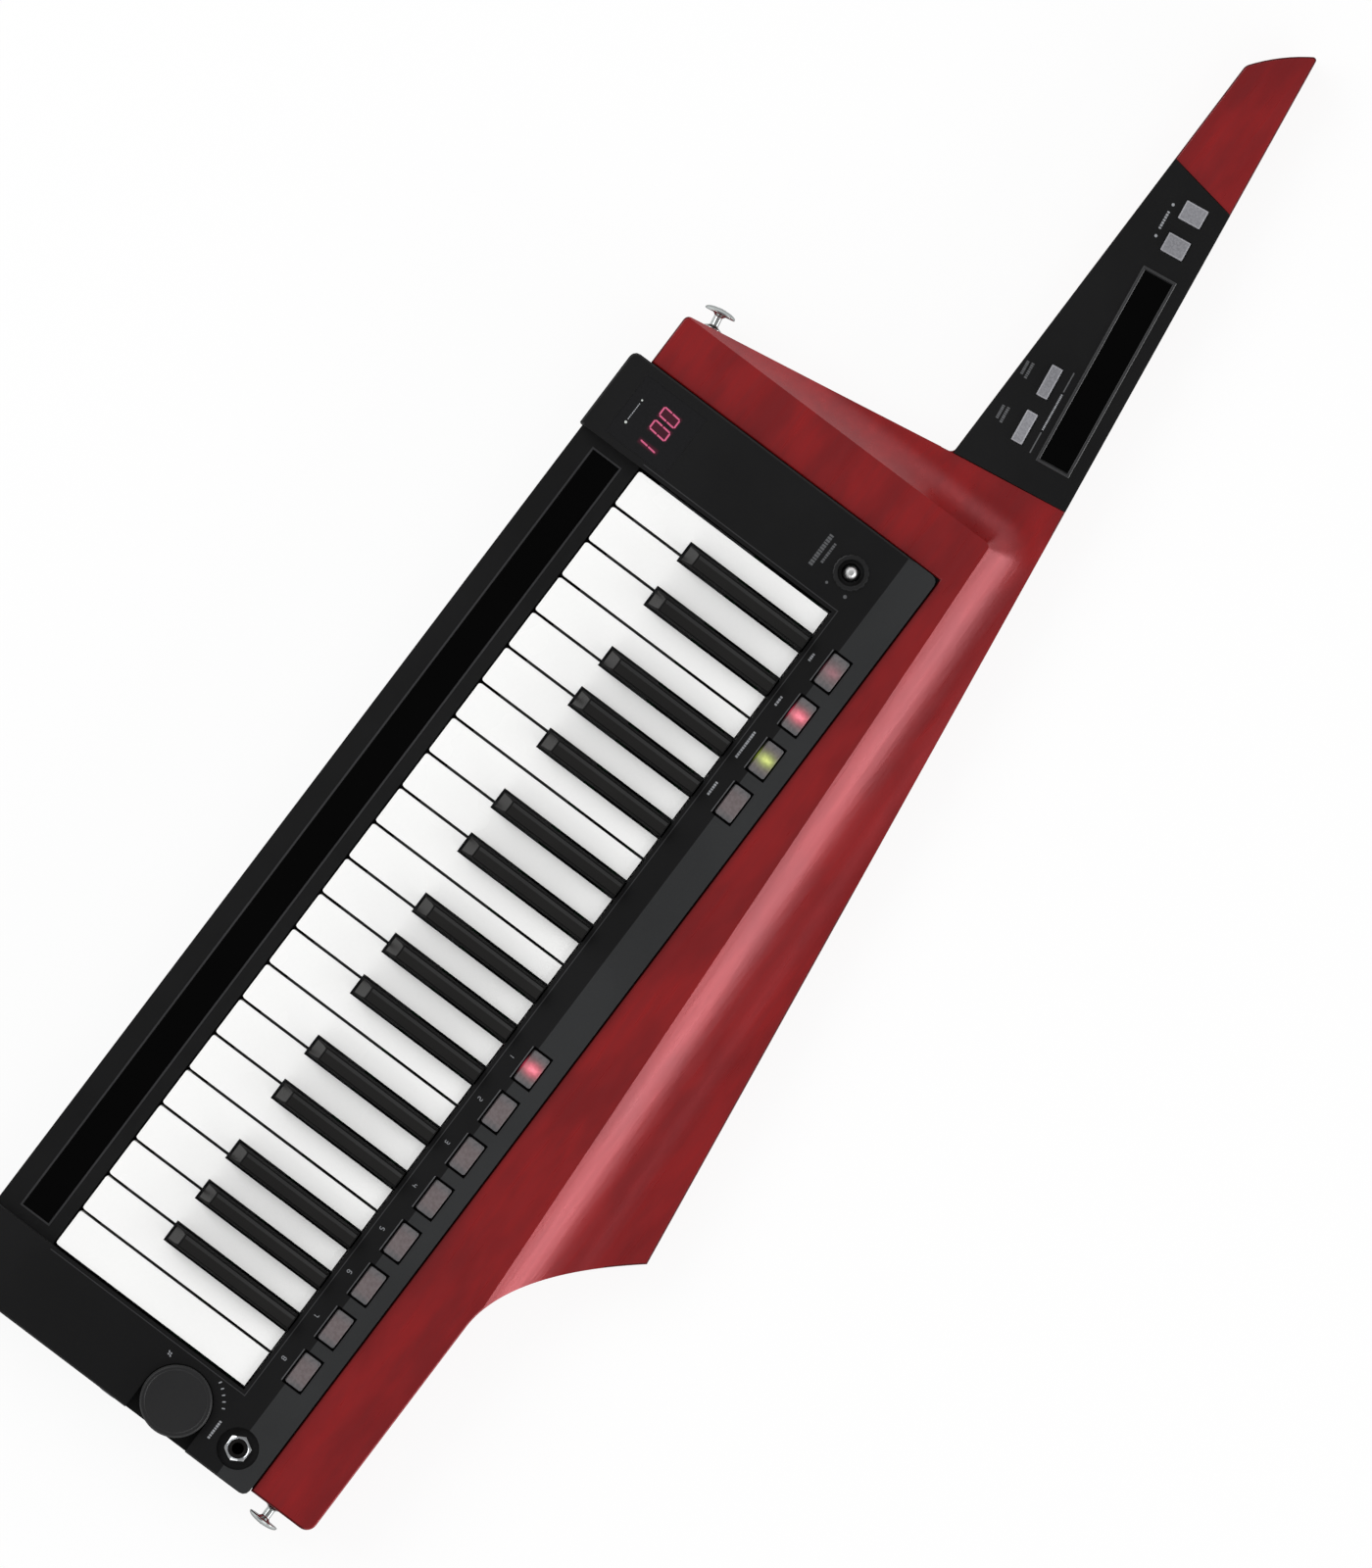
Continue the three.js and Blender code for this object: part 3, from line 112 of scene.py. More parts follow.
class Shader:
    """One node tree, with short ways to add and join nodes. In an input's name, _ stands for a space."""

    def __init__(self, tree):
        self.tree = tree

    def feed(self, socket, value):
        if isinstance(value, bpy.types.NodeSocket):
            self.tree.links.new(value, socket)
        else:
            socket.default_value = value

    def join(self, node, **inputs):
        for name, value in inputs.items():
            self.feed(node.inputs[name.replace("_", " ")], value)
        return node

    def add(self, kind, settings=None, **inputs):
        made = self.tree.nodes.new("ShaderNode" + kind)
        for name, value in (settings or {}).items():
            setattr(made, name, value)
        return self.join(made, **inputs)

    def calc(self, operation, *values):
        made = self.add("Math", {"operation": operation})
        for socket, value in zip(made.inputs, values):
            self.feed(socket, value)
        return made.outputs[0]

    def times(self, a, b):
        return self.calc("MULTIPLY", a, b)

    def scaled(self, value, gain, offset):
        return self.calc("MULTIPLY_ADD", value, gain, offset)

    def mix(self, factor, a, b):
        made = self.add("Mix", {"data_type": "RGBA"})
        for index, value in zip((0, 6, 7), (factor, a, b)):
            self.feed(made.inputs[index], value)
        return made.outputs[2]

    def step(self, value, low, high):
        """0 below low, 1 above high and smooth between them."""
        smooth = {"interpolation_type": "SMOOTHSTEP"}
        return self.add("MapRange", smooth, Value=value, From_Min=low, From_Max=high).outputs["Result"]

    def where(self):
        """Places in the object's own frame."""
        return self.add("TexCoord").outputs["Object"]

    def noise(self, where, scale, detail=2.0, **inputs):
        return self.add("TexNoise", Vector=where, Scale=scale, Detail=detail, **inputs).outputs["Fac"]

    def bump(self, strength, distance, height):
        return self.add("Bump", Strength=strength, Distance=distance, Height=height).outputs["Normal"]

    def facing(self):
        """0 where the surface is seen square on, 1 at its outlines."""
        return self.add("LayerWeight", Blend=0.5).outputs["Facing"]


def linear(code):
    """A colour written as six hex digits, as it renders, with an alpha of 1."""

    def channel(value):
        share = value / 255
        return share / 12.92 if share <= 0.04045 else ((share + 0.055) / 1.055) ** 2.4

    return (*(channel(int(code[i : i + 2], 16)) for i in (0, 2, 4)), 1.0)


def shaded(code, share):
    """A colour made darker or lighter by a share."""
    return (*(min(1.0, value * share) for value in linear(code)[:3]), 1.0)


GRAZING_START, GRAZING_FULL = 0.52, 0.74


def dulled(shader, rough, gain):
    """The roughness of a satin surface, which rises by a gain where it is seen at a grazing angle."""
    return shader.scaled(shader.step(shader.facing(), GRAZING_START, GRAZING_FULL), gain, rough)


def new_group(name, inputs, outputs):
    group = bpy.data.node_groups.new(name, "ShaderNodeTree")
    for label, kind, default in inputs:
        socket = group.interface.new_socket(label, in_out="INPUT", socket_type="NodeSocket" + kind)
        if default is not None:
            socket.default_value = default
    for label, kind in outputs:
        group.interface.new_socket(label, in_out="OUTPUT", socket_type="NodeSocket" + kind)
    return group, Shader(group), group.nodes.new("NodeGroupInput"), group.nodes.new("NodeGroupOutput")


def fine_texture_group():
    """Moulded plastic: a fine grain as a bump, and soft patches that vary gloss and colour a little."""
    group, shader, given, out = new_group(
        "fine_texture",
        [("Grain", "Float", 2500.0), ("Depth", "Float", 0.1)],
        [("Normal", "Vector"), ("Patch", "Float"), ("Speck", "Float")],
    )
    where = shader.where()
    grain = shader.noise(where, given.outputs["Grain"])
    normal = shader.bump(given.outputs["Depth"], 0.0002, grain)
    patches = shader.noise(where, 14.0, 3.0, Roughness=0.55)
    patch, speck = shader.step(patches, 0.3, 0.7), shader.step(grain, 0.35, 0.65)
    shader.join(out, Normal=normal, Patch=patch, Speck=speck)
    return group


def wood_grain_group():
    """Veneer that runs along X: long streaks, short pores and a slow change of tone."""
    group, shader, given, out = new_group(
        "wood_grain",
        [("Vector", "Vector", None)],
        [("Streak", "Float"), ("Pore", "Float"), ("Tone", "Float"), ("Normal", "Vector")],
    )

    def stretched(along, across, detail, roughness=0.6):
        mapped = shader.add("Mapping", Vector=given.outputs["Vector"], Scale=(along, across, across))
        return shader.noise(mapped.outputs[0], 1.0, detail, Roughness=roughness)

    streak = shader.step(stretched(24, 320, 5.0), 0.3, 0.7)
    pore = shader.step(stretched(150, 1900, 2.0, 0.7), 0.58, 0.7)
    tone = shader.step(stretched(16, 42, 3.0), 0.34, 0.66)
    normal = shader.bump(0.06, 0.0004, shader.scaled(pore, -0.4, streak))
    shader.join(out, Streak=streak, Pore=pore, Tone=tone, Normal=normal)
    return group


FINE_TEXTURE = fine_texture_group()
WOOD_GRAIN = wood_grain_group()


def new_material(name, colour, roughness, **settings):
    """A material with a Principled shader, ready for its colour and normal to be joined."""
    material = bpy.data.materials.new(name)
    material.use_nodes = True
    shader = Shader(material.node_tree)
    surface = material.node_tree.nodes["Principled BSDF"]
    shader.join(surface, Base_Color=colour, Roughness=roughness, **settings)
    return material, shader, surface


def plastic(name, code, roughness, specular=0.3, grain=2500.0, depth=0.1, spread=0.12, **settings):
    """Moulded plastic in a colour, a little lighter and darker in soft patches and specks."""
    settings["Specular_IOR_Level"] = specular
    material, shader, surface = new_material(name, linear(code), roughness, **settings)
    texture = shader.add("Group", {"node_tree": FINE_TEXTURE}, Grain=grain, Depth=depth).outputs
    patches = shader.times(texture["Patch"], 0.65)
    varied = shader.scaled(texture["Speck"], 0.35, patches)
    gloss = shader.scaled(texture["Patch"], 0.06, roughness - 0.03)
    colour = shader.mix(varied, shaded(code, 1 - spread), shaded(code, 1 + spread))
    shader.join(surface, Base_Color=colour, Roughness=dulled(shader, gloss, 0.35), Normal=texture["Normal"])
    return material


def metal(name, code, roughness, scale=(400.0, 400.0, 400.0), edge=None):
    """Metal with faint wear, and, where an edge colour is given, a darker tone painted towards its outlines
    as shade.
    """
    material, shader, surface = new_material(name, linear(code), roughness, Metallic=1.0)
    mapped = shader.add("Mapping", Vector=shader.where(), Scale=scale)
    wear = shader.step(shader.noise(mapped.outputs[0], 1.0, 3.0), 0.35, 0.65)
    colour = shader.mix(wear, shaded(code, 0.9), linear(code))
    if edge:
        # Painted shade: the colour darkens towards the edge colour where the surface is seen at a grazing
        # angle.
        colour = shader.mix(shader.step(shader.facing(), 0.4, 0.9), colour, linear(edge))
    worn = shader.scaled(wear, 0.08, roughness - 0.04)
    shader.join(surface, Base_Color=colour, Roughness=worn)
    return material


def stained_wood(name, share=1.0):
    """Red stain under a satin varnish, whose gloss takes on the stain's colour. A share below 1 is darker."""
    gloss = {"IOR": 1.6, "Specular_IOR_Level": share, "Specular_Tint": (1.0, 0.36, 0.4, 1.0)}
    material, shader, surface = new_material(name, linear("7e1a1a"), 0.3, **gloss)
    grain = shader.add("Group", {"node_tree": WOOD_GRAIN}, Vector=shader.where()).outputs
    colour = shader.mix(grain["Tone"], shaded("741010", share), shaded("8b1514", share))
    for label, amount, code in (("Streak", 0.3, "660e0f"), ("Pore", 0.1, "4d0b0d")):
        colour = shader.mix(shader.times(grain[label], amount), colour, shaded(code, share))
    rough = shader.scaled(grain["Streak"], 0.05, 0.27)
    shader.join(surface, Base_Color=colour, Roughness=dulled(shader, rough, 0.45), Normal=grain["Normal"])
    return material


def glow_cap(name, glow=None, core=None, strength=0.0):
    """A smoked cap, and the lamp behind its middle: a bright streak across it that fades to the ends."""
    material, shader, surface = new_material(name, linear("6e6969"), 0.4, Specular_IOR_Level=0.3)
    where = shader.where()
    parts = shader.add("SeparateXYZ", Vector=where).outputs
    frost = shader.noise(where, 700.0, 3.0)
    edge = shader.step(shader.calc("ABSOLUTE", parts["X"]), 3 * MM, 8.4 * MM)
    body = shader.mix(edge, linear("655b5c"), linear("57585a"))
    frosting = shader.times(shader.step(frost, 0.35, 0.65), 0.35)
    colour = shader.mix(frosting, body, linear("7d7576"))
    shader.join(surface, Base_Color=colour, Normal=shader.bump(0.15, 0.0002, frost))

    def spot(length, width):
        across = shader.calc("DIVIDE", parts["X"], length * MM)
        along = shader.calc("DIVIDE", parts["Y"], width * MM)
        squares = [shader.times(share, share) for share in (across, along)]
        return shader.calc("POWER", math.e, shader.times(shader.calc("ADD", *squares), -1.0))

    if strength:
        lit = shader.mix(spot(1.7, 3.0), linear(glow), linear(core))
        mottled = shader.times(spot(2.9, 4.6), shader.scaled(frost, 0.7, 0.65))
        level = shader.times(mottled, strength)
        shader.join(surface, Emission_Color=lit, Emission_Strength=level)
    return material


def lamp_material(name, code, strength):
    """A lit mark: a little darker in patches, as a segment behind smoked glass is."""
    material, shader, surface = new_material(name, linear("0a0607"), 0.4, Emission_Color=linear(code))
    noise = shader.noise(shader.where(), 1500.0)
    shader.join(surface, Emission_Strength=shader.scaled(noise, 0.4 * strength, 0.8 * strength))
    return material


GLOW_REACH = 1.4


def display_glass(digits):
    """Smoked glass with a dark red glow round its digits, given as (x, y, half width, half height)."""
    settings = {"Specular_IOR_Level": 0.25, "Emission_Color": linear("470a20")}
    material, shader, surface = new_material("display_glass", linear("171718"), 0.3, **settings)
    where = shader.where()
    parts = shader.add("SeparateXYZ", Vector=where).outputs
    glow = 0.0
    for x, y, wide, high in digits:
        middle = place(x, y)
        near = 1.0
        for axis, centre, half in (("X", middle.x, wide), ("Y", middle.y, high)):
            away = shader.calc("ABSOLUTE", shader.calc("SUBTRACT", parts[axis], centre))
            outside = shader.step(away, half * MM, (half + GLOW_REACH) * MM)
            near = shader.times(near, shader.calc("SUBTRACT", 1.0, outside))
        glow = shader.calc("MAXIMUM", glow, near)
    smoke = shader.mix(shader.noise(where, 900.0), linear("121213"), linear("1c1c1e"))
    shader.join(surface, Base_Color=smoke, Emission_Strength=shader.times(glow, 0.7))
    return material


MATERIALS = {
    "stained wood": stained_wood("stained_wood"),
    "black shell": plastic("black_shell", "0e0e0f", 0.4, specular=0.26, depth=0.2, spread=0.2),
    "white keys": plastic("white_keys", "fdfdfc", 0.25, specular=0.4, grain=600.0, depth=0.01, spread=0.01),
    "black keys": plastic("black_keys", "141312", 0.28, specular=0.5, spread=0.2),
    "smoked caps": glow_cap("smoked_caps"),
    "silver caps": plastic("silver_caps", "a2a2a7", 0.45, grain=1100.0, depth=0.4, spread=0.22, Metallic=0.2),
    "gloss black": plastic("gloss_black", "020202", 0.12, specular=0.1, depth=0.0, spread=0.3),
    "knob": plastic("knob_plastic", "222223", 0.42, depth=0.12, spread=0.1),
    "chrome": metal("polished_chrome", "dfe1e3", 0.12),
    "satin tip": metal("satin_tip", "f0f0f0", 0.42),
    "rubber": plastic("dark_rubber", "303236", 0.8, specular=0.2, depth=0.15),
    "board": plastic("coated_board", "1c5a3a", 0.45, depth=0.05),
    "steel": metal("plated_steel", "a2a4a7", 0.38, scale=(30.0, 900.0, 900.0)),
}
# Painted shade: a darker, less glossy copy of the stained wood for the rounded outer edges.
WOOD_EDGE_PAINTED_SHADE = stained_wood("wood_edge_painted_shade", 0.3)
# Painted shade: the pins' metal darkens towards its outlines.
PIN_METAL = metal("pin_metal", "c4c9c8", 0.22, edge="363f3f")
WHITE_PRINT = plastic("white_print", "94969a", 0.6, depth=0.02, spread=0.2, grain=1200.0)
FAINT_PRINT = plastic("faint_print", "58595b", 0.6, depth=0.02, spread=0.2, grain=1200.0)
# Painted highlight: a lighter grey for the rims round the keys, the ribbon channel and the neck ribbon.
RIM_PAINTED_HIGHLIGHT = plastic("rim_plastic_painted_highlight", "2c2c2e", 0.35, specular=0.6)
# Near-black rubber for the keypads' webs, which is also painted shade between the caps, and for the strip
# that paints the shade in the seam.
DARK_RUBBER_AND_GAP_SHADE = plastic("web_rubber_and_gap_shade", "0b0b0c", 0.7, specular=0.1, spread=0.2)
# Near-black plastic for the jack's bushing and sleeve and the board's sockets, and painted shade in the bore,
# the sockets and the screw slots.
DARK_PLASTIC_AND_SHADE = plastic("dark_plastic_and_shade", "0d0b0a", 0.6, specular=0.15, depth=0.05, spread=0.2)
# Painted shade: near-black, dull plastic for the black keys' sides, front and slope border.
KEY_SIDES_PAINTED_SHADE = plastic("black_key_sides_painted_shade", "070707", 0.55, specular=0.12, spread=0.2)
# Painted highlight: a lighter grey for the black keys' top bevels on the neck side.
KEY_BEVEL_PAINTED_HIGHLIGHT = plastic("black_key_bevel_painted_highlight", "272727", 0.34, specular=0.5, spread=0.2)
# Painted shade: grey for the white keys' sides, as they look in the gaps between keys.
WHITE_KEY_SIDES_PAINTED_SHADE = plastic("white_key_sides_painted_shade", "a8a8a6", 0.4, depth=0.02, spread=0.03)
# Painted highlight: the panel's rear slope in a lighter grey than the flat top.
SLOPE_SHELL_PAINTED_HIGHLIGHT = plastic("slope_shell_painted_highlight", "2a2b2c", 0.4, specular=0.26, depth=0.2, spread=0.15)
COLLAR_PLASTIC = plastic("collar_plastic", "19191a", 0.4, specular=0.35, spread=0.15)
SILVER_MIDDLE = plastic("silver_middle", "8c8c91", 0.5, grain=900.0, depth=0.4, spread=0.3, Metallic=0.2)
DIGIT_LIT = lamp_material("digit_lit", "de648c", 0.85)
DOT_LIT = lamp_material("dot_lit", "c8cdc8", 1.0)
CAP_GLOWS = {
    "faint": glow_cap("cap_faint_red", "a04458", "b85a6c", 0.35),
    "red": glow_cap("cap_lit_red", "f03c5e", "ff7a90", 0.9),
    "green": glow_cap("cap_lit_green", "a8c030", "dcec70", 0.8),
}


# Pieces


def shade(mesh, angle=30):
    for polygon in mesh.polygons:
        polygon.use_smooth = True
    mesh.set_sharp_from_angle(angle=math.radians(angle))


def add_piece(name, mesh, material, body="instrument", at=None):
    piece = bpy.data.objects.new(name, mesh)
    scene.collection.objects.link(piece)
    mesh.materials.clear()
    mesh.materials.append(material)
    if at is not None:
        piece.matrix_world = at
    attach(piece, body)
    return piece


@contextmanager
def edited(mesh, source=None):
    """Opens a mesh, or what another one holds, for changes that then go into the mesh."""
    work = bmesh.new()
    work.from_mesh(source or mesh)
    yield work
    work.to_mesh(mesh)
    work.free()


def mesh_from(name, points, faces):
    mesh = bpy.data.meshes.new(name)
    mesh.from_pydata([tuple(point) for point in points], [], faces)
    with edited(mesh) as work:
        bmesh.ops.recalc_face_normals(work, faces=work.faces)
        if work.calc_volume(signed=True) < 0:
            bmesh.ops.reverse_faces(work, faces=work.faces)
    return mesh


def skin(rings, looped=False, steps=None):
    """Points and faces that join rings of points one after another, looped round or with two end caps."""
    size = len(rings[0])
    faces = []
    if not looped:
        faces += [tuple(reversed(range(size))), tuple(range((len(rings) - 1) * size, len(rings) * size))]
    for ring in range(len(rings) if looped else len(rings) - 1):
        low, high = ring * size, (ring + 1) % len(rings) * size
        for start in range(steps or size):
            end = (start + 1) % size
            faces.append((low + start, low + end, high + end, high + start))
    return [point for ring in rings for point in ring], faces


def prism(outline, bottom, top, lift=place):
    return skin([[lift(*spot, height) for spot in outline] for height in (bottom, top)])


def round_edges(piece, width, segments, method):
    bevel = piece.modifiers.new("rounded_edges", "BEVEL")
    bevel.width = width * MM
    bevel.segments = segments
    bevel.limit_method = method
    return bevel


def soften(piece, width, segments=2, region=None, angle=28, material=-1):
    """Rounds the sharp edges, each by the share of the width that a region of the key frame gives it."""
    with edited(piece.data) as work:
        layers = work.edges.layers.float
        weights = layers.get("bevel_weight_edge") or layers.new("bevel_weight_edge")
        for edge in work.edges:
            if len(edge.link_faces) != 2 or edge.calc_face_angle(0) < math.radians(angle):
                continue
            middle = in_key_frame((edge.verts[0].co + edge.verts[1].co) / 2)
            edge[weights] = 1.0 if region is None else float(region(middle))
    bevel = round_edges(piece, width, segments, "WEIGHT")
    bevel.use_clamp_overlap = True
    bevel.harden_normals = True
    bevel.material = material


def crease_flats(mesh, angle=5):
    """Sharpens the edges round level faces, so that a level face keeps one tone."""
    with edited(mesh) as work:
        for edge in work.edges:
            level = any(abs(face.normal.z) > 0.95 for face in edge.link_faces)
            if level and edge.calc_face_angle(0) > math.radians(angle):
                edge.smooth = False


def copied(node, slot):
    """A copy of a CAD piece with its flat faces whole again, to be rounded."""
    source = frame["nodes"][node]
    mesh = bpy.data.meshes.new(node + "_form")
    with edited(mesh, source.data) as work:
        bmesh.ops.remove_doubles(work, verts=work.verts, dist=2e-6)
        whole = {"verts": work.verts, "edges": work.edges, "use_dissolve_boundaries": False}
        bmesh.ops.dissolve_limit(work, angle_limit=math.radians(0.4), **whole)
    mesh.validate()
    shade(mesh)
    piece = add_piece(node + "_form", mesh, MATERIALS[slot], source["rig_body"])
    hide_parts(node)
    return piece


def second_finish(piece, material, chosen):
    """Gives the faces whose middle and normal a rule picks, in the key frame, another material."""
    piece.data.materials.append(material)
    for polygon in piece.data.polygons:
        if chosen(in_key_frame(polygon.center), polygon.normal):
            polygon.material_index = len(piece.data.materials) - 1


def slab(name, outline, bottom, top, material, body="instrument", slot=None, at=None):
    """A flat piece from an outline in the key frame, or in its own frame when placed by a matrix."""
    lift = place if at is None else (lambda x, y, z: Vector((x, y, z)) * MM)
    return add_piece(name, mesh_from(name, *prism(outline, bottom, top, lift)), material, body, at)


# Outlines

CORNERS = ((-1, -1), (1, -1), (1, 1), (-1, 1))


def heading(angle):
    return Vector((math.cos(angle), math.sin(angle)))


def left_of(direction):
    return Vector((-direction.y, direction.x))


def bar(cx, cy, length, width, turn=0.0):
    """The outline of a bar about a centre, turned by an angle."""
    along = heading(turn)
    return [
        Vector((cx, cy)) + along * sx * length / 2 + left_of(along) * sy * width / 2 for sx, sy in CORNERS
    ]


def disc(cx, cy, radius, sides=16):
    return [Vector((cx, cy)) + heading(2 * math.pi * side / sides) * radius for side in range(sides)]


def rounded_outline(corners, steps=8):
    """An outline from corners and the radius of each."""
    points = []
    count = len(corners)
    for index, (corner, radius) in enumerate(corners):
        corner = Vector(corner)
        if radius == 0:
            points.append(corner)
            continue
        back = (Vector(corners[index - 1][0]) - corner).normalized()
        ahead = (Vector(corners[(index + 1) % count][0]) - corner).normalized()
        half = math.acos(max(-1, min(1, back.dot(ahead)))) / 2
        centre = corner + (back + ahead).normalized() * radius / math.sin(half)
        start = corner + back * radius / math.tan(half) - centre
        end = corner + ahead * radius / math.tan(half) - centre
        first = math.atan2(start.y, start.x)
        turn = (math.atan2(end.y, end.x) - first + math.pi) % (2 * math.pi) - math.pi
        points += [centre + heading(first + turn * step / steps) * radius for step in range(steps + 1)]
    return points


def inset_outline(points, inset):
    """The outline drawn in by an inset, each corner along its own bisector."""
    drawn = []
    for index, point in enumerate(points):
        before = left_of((point - points[index - 1]).normalized())
        after = left_of((points[(index + 1) % len(points)] - point).normalized())
        bisector = before + after
        drawn.append(point + bisector * inset / max(0.25, bisector.dot(before)))
    return drawn


def rounded_slab(points, bottom, top, rounding, steps=5):
    """Points and faces of a slab whose upper and lower edges are rounded."""
    angles = [math.pi / 2 * step / steps for step in range(steps + 1)]
    levels = [(rounding * (1 - math.sin(a)), bottom + rounding * (1 - math.cos(a))) for a in angles]
    levels += [(inset, top + bottom - height) for inset, height in reversed(levels)]
    return skin([[place(*spot, height) for spot in inset_outline(points, inset)] for inset, height in levels])


def curve(start, control, end, steps):
    """A curve from start to end, drawn towards a control point."""
    shares = [step / steps for step in range(steps + 1)]
    return [start * (1 - t) ** 2 + control * 2 * t * (1 - t) + end * t**2 for t in shares]


# Forms


TURN_SIDES = 64


def turned(name, corners, at, material, body="instrument", slot=None, node=None):
    """A piece turned about its own Z, from a profile of (radius, height, rounding) corners."""
    profile = rounded_outline([((radius, height), rounding) for radius, height, rounding in corners], 4)
    rings = []
    for side in range(TURN_SIDES):
        across = heading(2 * math.pi * side / TURN_SIDES)
        rings.append([Vector((*(across * spot.x), spot.y)) * MM for spot in profile])
    on_axis = profile[0].x == 0
    mesh = mesh_from(name, *skin(rings, looped=True, steps=len(profile) - on_axis))
    with edited(mesh) as work:
        bmesh.ops.remove_doubles(work, verts=work.verts, dist=1e-6)
        bmesh.ops.recalc_face_normals(work, faces=work.faces)
    shade(mesh, 25)
    piece = add_piece(name, mesh, material, body, at)
    if node:
        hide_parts(node)
    return piece


def arc(radius, height, start, end, steps=10):
    """Profile corners along a circle about the axis, between two angles in degrees."""
    angles = [math.radians(start + (end - start) * step / steps) for step in range(steps + 1)]
    return [(radius * math.cos(angle), height + radius * math.sin(angle), 0) for angle in angles]


def ring_frame(name, middle, size, turn, section, material):
    """A rectangular rim, whose section is a closed list of (outset, height)."""
    levels = []
    for outset, height in section:
        outline = bar(*middle, size[0] + 2 * outset, size[1] + 2 * outset, turn)
        levels.append([place(*spot, height) for spot in outline])
    mesh = mesh_from(name, *skin(list(zip(*levels)), looped=True))
    return add_piece(name, mesh, material)


def solid(name, shape):
    made = bpy.data.objects.new(name, mesh_from(name, *shape))
    scene.collection.objects.link(made)
    return made


def combine(base, operation, tool):
    """Joins, cuts or crosses one solid with another and keeps the result in the first."""
    change = base.modifiers.new("combine", "BOOLEAN")
    change.operation = operation
    change.object = tool
    change.solver = "EXACT"
    bpy.context.view_layer.update()
    evaluated = base.evaluated_get(bpy.context.evaluated_depsgraph_get())
    made = bpy.data.meshes.new_from_object(evaluated)
    base.modifiers.clear()
    base.data = made
    bpy.data.objects.remove(tool)


# Wood body, finer than the CAD's: the same plan and cove with more steps

LEAN = math.tan(math.radians(9.95))
NECK_RISE = math.radians(8.0)
WOOD_CORNER = Vector((HOUSING_LEFT - 27.5, HOUSING_FRONT + 9.5))
NECK_LOWER = HOUSING_REAR - 30.1
NECK_ROOT = Vector((WOOD_CORNER.x - (NECK_LOWER - WOOD_CORNER.y) * LEAN, NECK_LOWER))
NECK_WIDTH = 59.4
WOOD_REAR = HOUSING_REAR + 34.1
WOOD_BUTT = HOUSING_RIGHT - 3.7
NECK_PANEL_LENGTH = 170.4
NECK_PANEL_HEAD = NECK_ROOT.x - NECK_PANEL_LENGTH
HEAD_END = NECK_PANEL_HEAD - 53.9
HEAD_TIP = HEAD_END - 23.4
HEAD_BOW = 1.7
WING_REACH, SCOOP_LENGTH, SCOOP_ANGLE = 385, 73, math.radians(50)
HEAD_RADIUS, NECK_RADIUS, BUTT_RADIUS, POINT_RADIUS = 5, 3, 5.5, 1.5
WOOD_ROUNDING = 1.0
OVERSHOOT = 6  # how far a cutting solid reaches past what it cuts


def upper_edge(x):
    return NECK_ROOT.y + NECK_WIDTH + (x - NECK_ROOT.x) * math.tan(NECK_RISE)


def wood_outline():
    tip_x = NECK_ROOT.x + WING_REACH
    tip = Vector((tip_x, upper_edge(tip_x)))
    control = Vector((tip.x + (tip.y - WOOD_REAR) / math.tan(SCOOP_ANGLE), WOOD_REAR))
    scoop = curve(Vector((tip.x + SCOOP_LENGTH, WOOD_REAR)), control, tip, 28)
    lower = Vector((HEAD_END, NECK_LOWER))
    upper = Vector((HEAD_TIP, upper_edge(HEAD_TIP)))
    bowed = (lower + upper) / 2 + left_of((upper - lower).normalized()) * 2 * HEAD_BOW
    head = curve(upper, bowed, lower, 8)[1:-1]
    inner = (HOUSING_LEFT - SEAT_GAP, HOUSING_REAR + SEAT_GAP)
    corners = [
        (lower, HEAD_RADIUS),
        (NECK_ROOT, NECK_RADIUS),
        (WOOD_CORNER, NECK_RADIUS),
        ((inner[0], WOOD_CORNER.y), 0),
        (inner, 0),
        ((WOOD_BUTT, inner[1]), 0),
        ((WOOD_BUTT, WOOD_REAR), BUTT_RADIUS),
        *((point, 0) for point in scoop),
        (upper, POINT_RADIUS),
        *((point, 0) for point in head),
    ]
    return rounded_outline(corners)


RIDGE_RISE = math.radians(3.46)
RIDGE_RADIUS, RIDGE_GAP, RIDGE_INSET = 2.5, 9.5, 0.3
NECK_COVE, REAR_COVE, COVE_BITE = 24, 36, 0.02


def ridge_path(steps=16, runs=24):
    """The crisp edge of the plateau: places, and the direction and width of the cove beside them."""
    left = WOOD_CORNER.x + RIDGE_INSET
    corner_angle = math.pi / 2 + RIDGE_RISE
    high = HOUSING_REAR + RIDGE_GAP - RIDGE_RADIUS / math.tan(corner_angle / 2)
    centre = Vector((left + RIDGE_RADIUS, high))
    start = Vector((left, WOOD_CORNER.y - OVERSHOOT))
    first_turn = centre - Vector((RIDGE_RADIUS, 0))
    path = [(start.lerp(first_turn, step / runs), math.pi, NECK_COVE) for step in range(runs)]
    for step in range(steps + 1):
        share = step / steps
        angle = math.pi + (corner_angle - math.pi) * share
        width = NECK_COVE + (REAR_COVE - NECK_COVE) * share
        path.append((centre + heading(angle) * RIDGE_RADIUS, angle, width))
    last = path[-1][0]
    end = Vector((WOOD_BUTT, last.y + (WOOD_BUTT - last.x) * math.tan(RIDGE_RISE)))
    return path + [(last.lerp(end, step / runs), corner_angle, REAR_COVE) for step in range(1, runs + 1)]


def cove_solid(steps=20):
    """The cove beside the ridge, which falls from the plateau to the wing and bites into it a little."""
    shares = [step / steps for step in range(steps + 1)]
    heights = [WING - COVE_BITE + (PLATEAU - WING) * (1 - share) ** 2 for share in shares]
    rings = []
    for point, angle, width in ridge_path():
        spots = [point + heading(angle) * width * share for share in shares]
        upper = [place(*spot, height) for spot, height in zip(spots, heights)]
        rings.append(upper + [place(*spot) for spot in reversed(spots)])
    return skin(rings)


PANEL_LEAN, PANEL_DEPTH = math.radians(9.1), 8


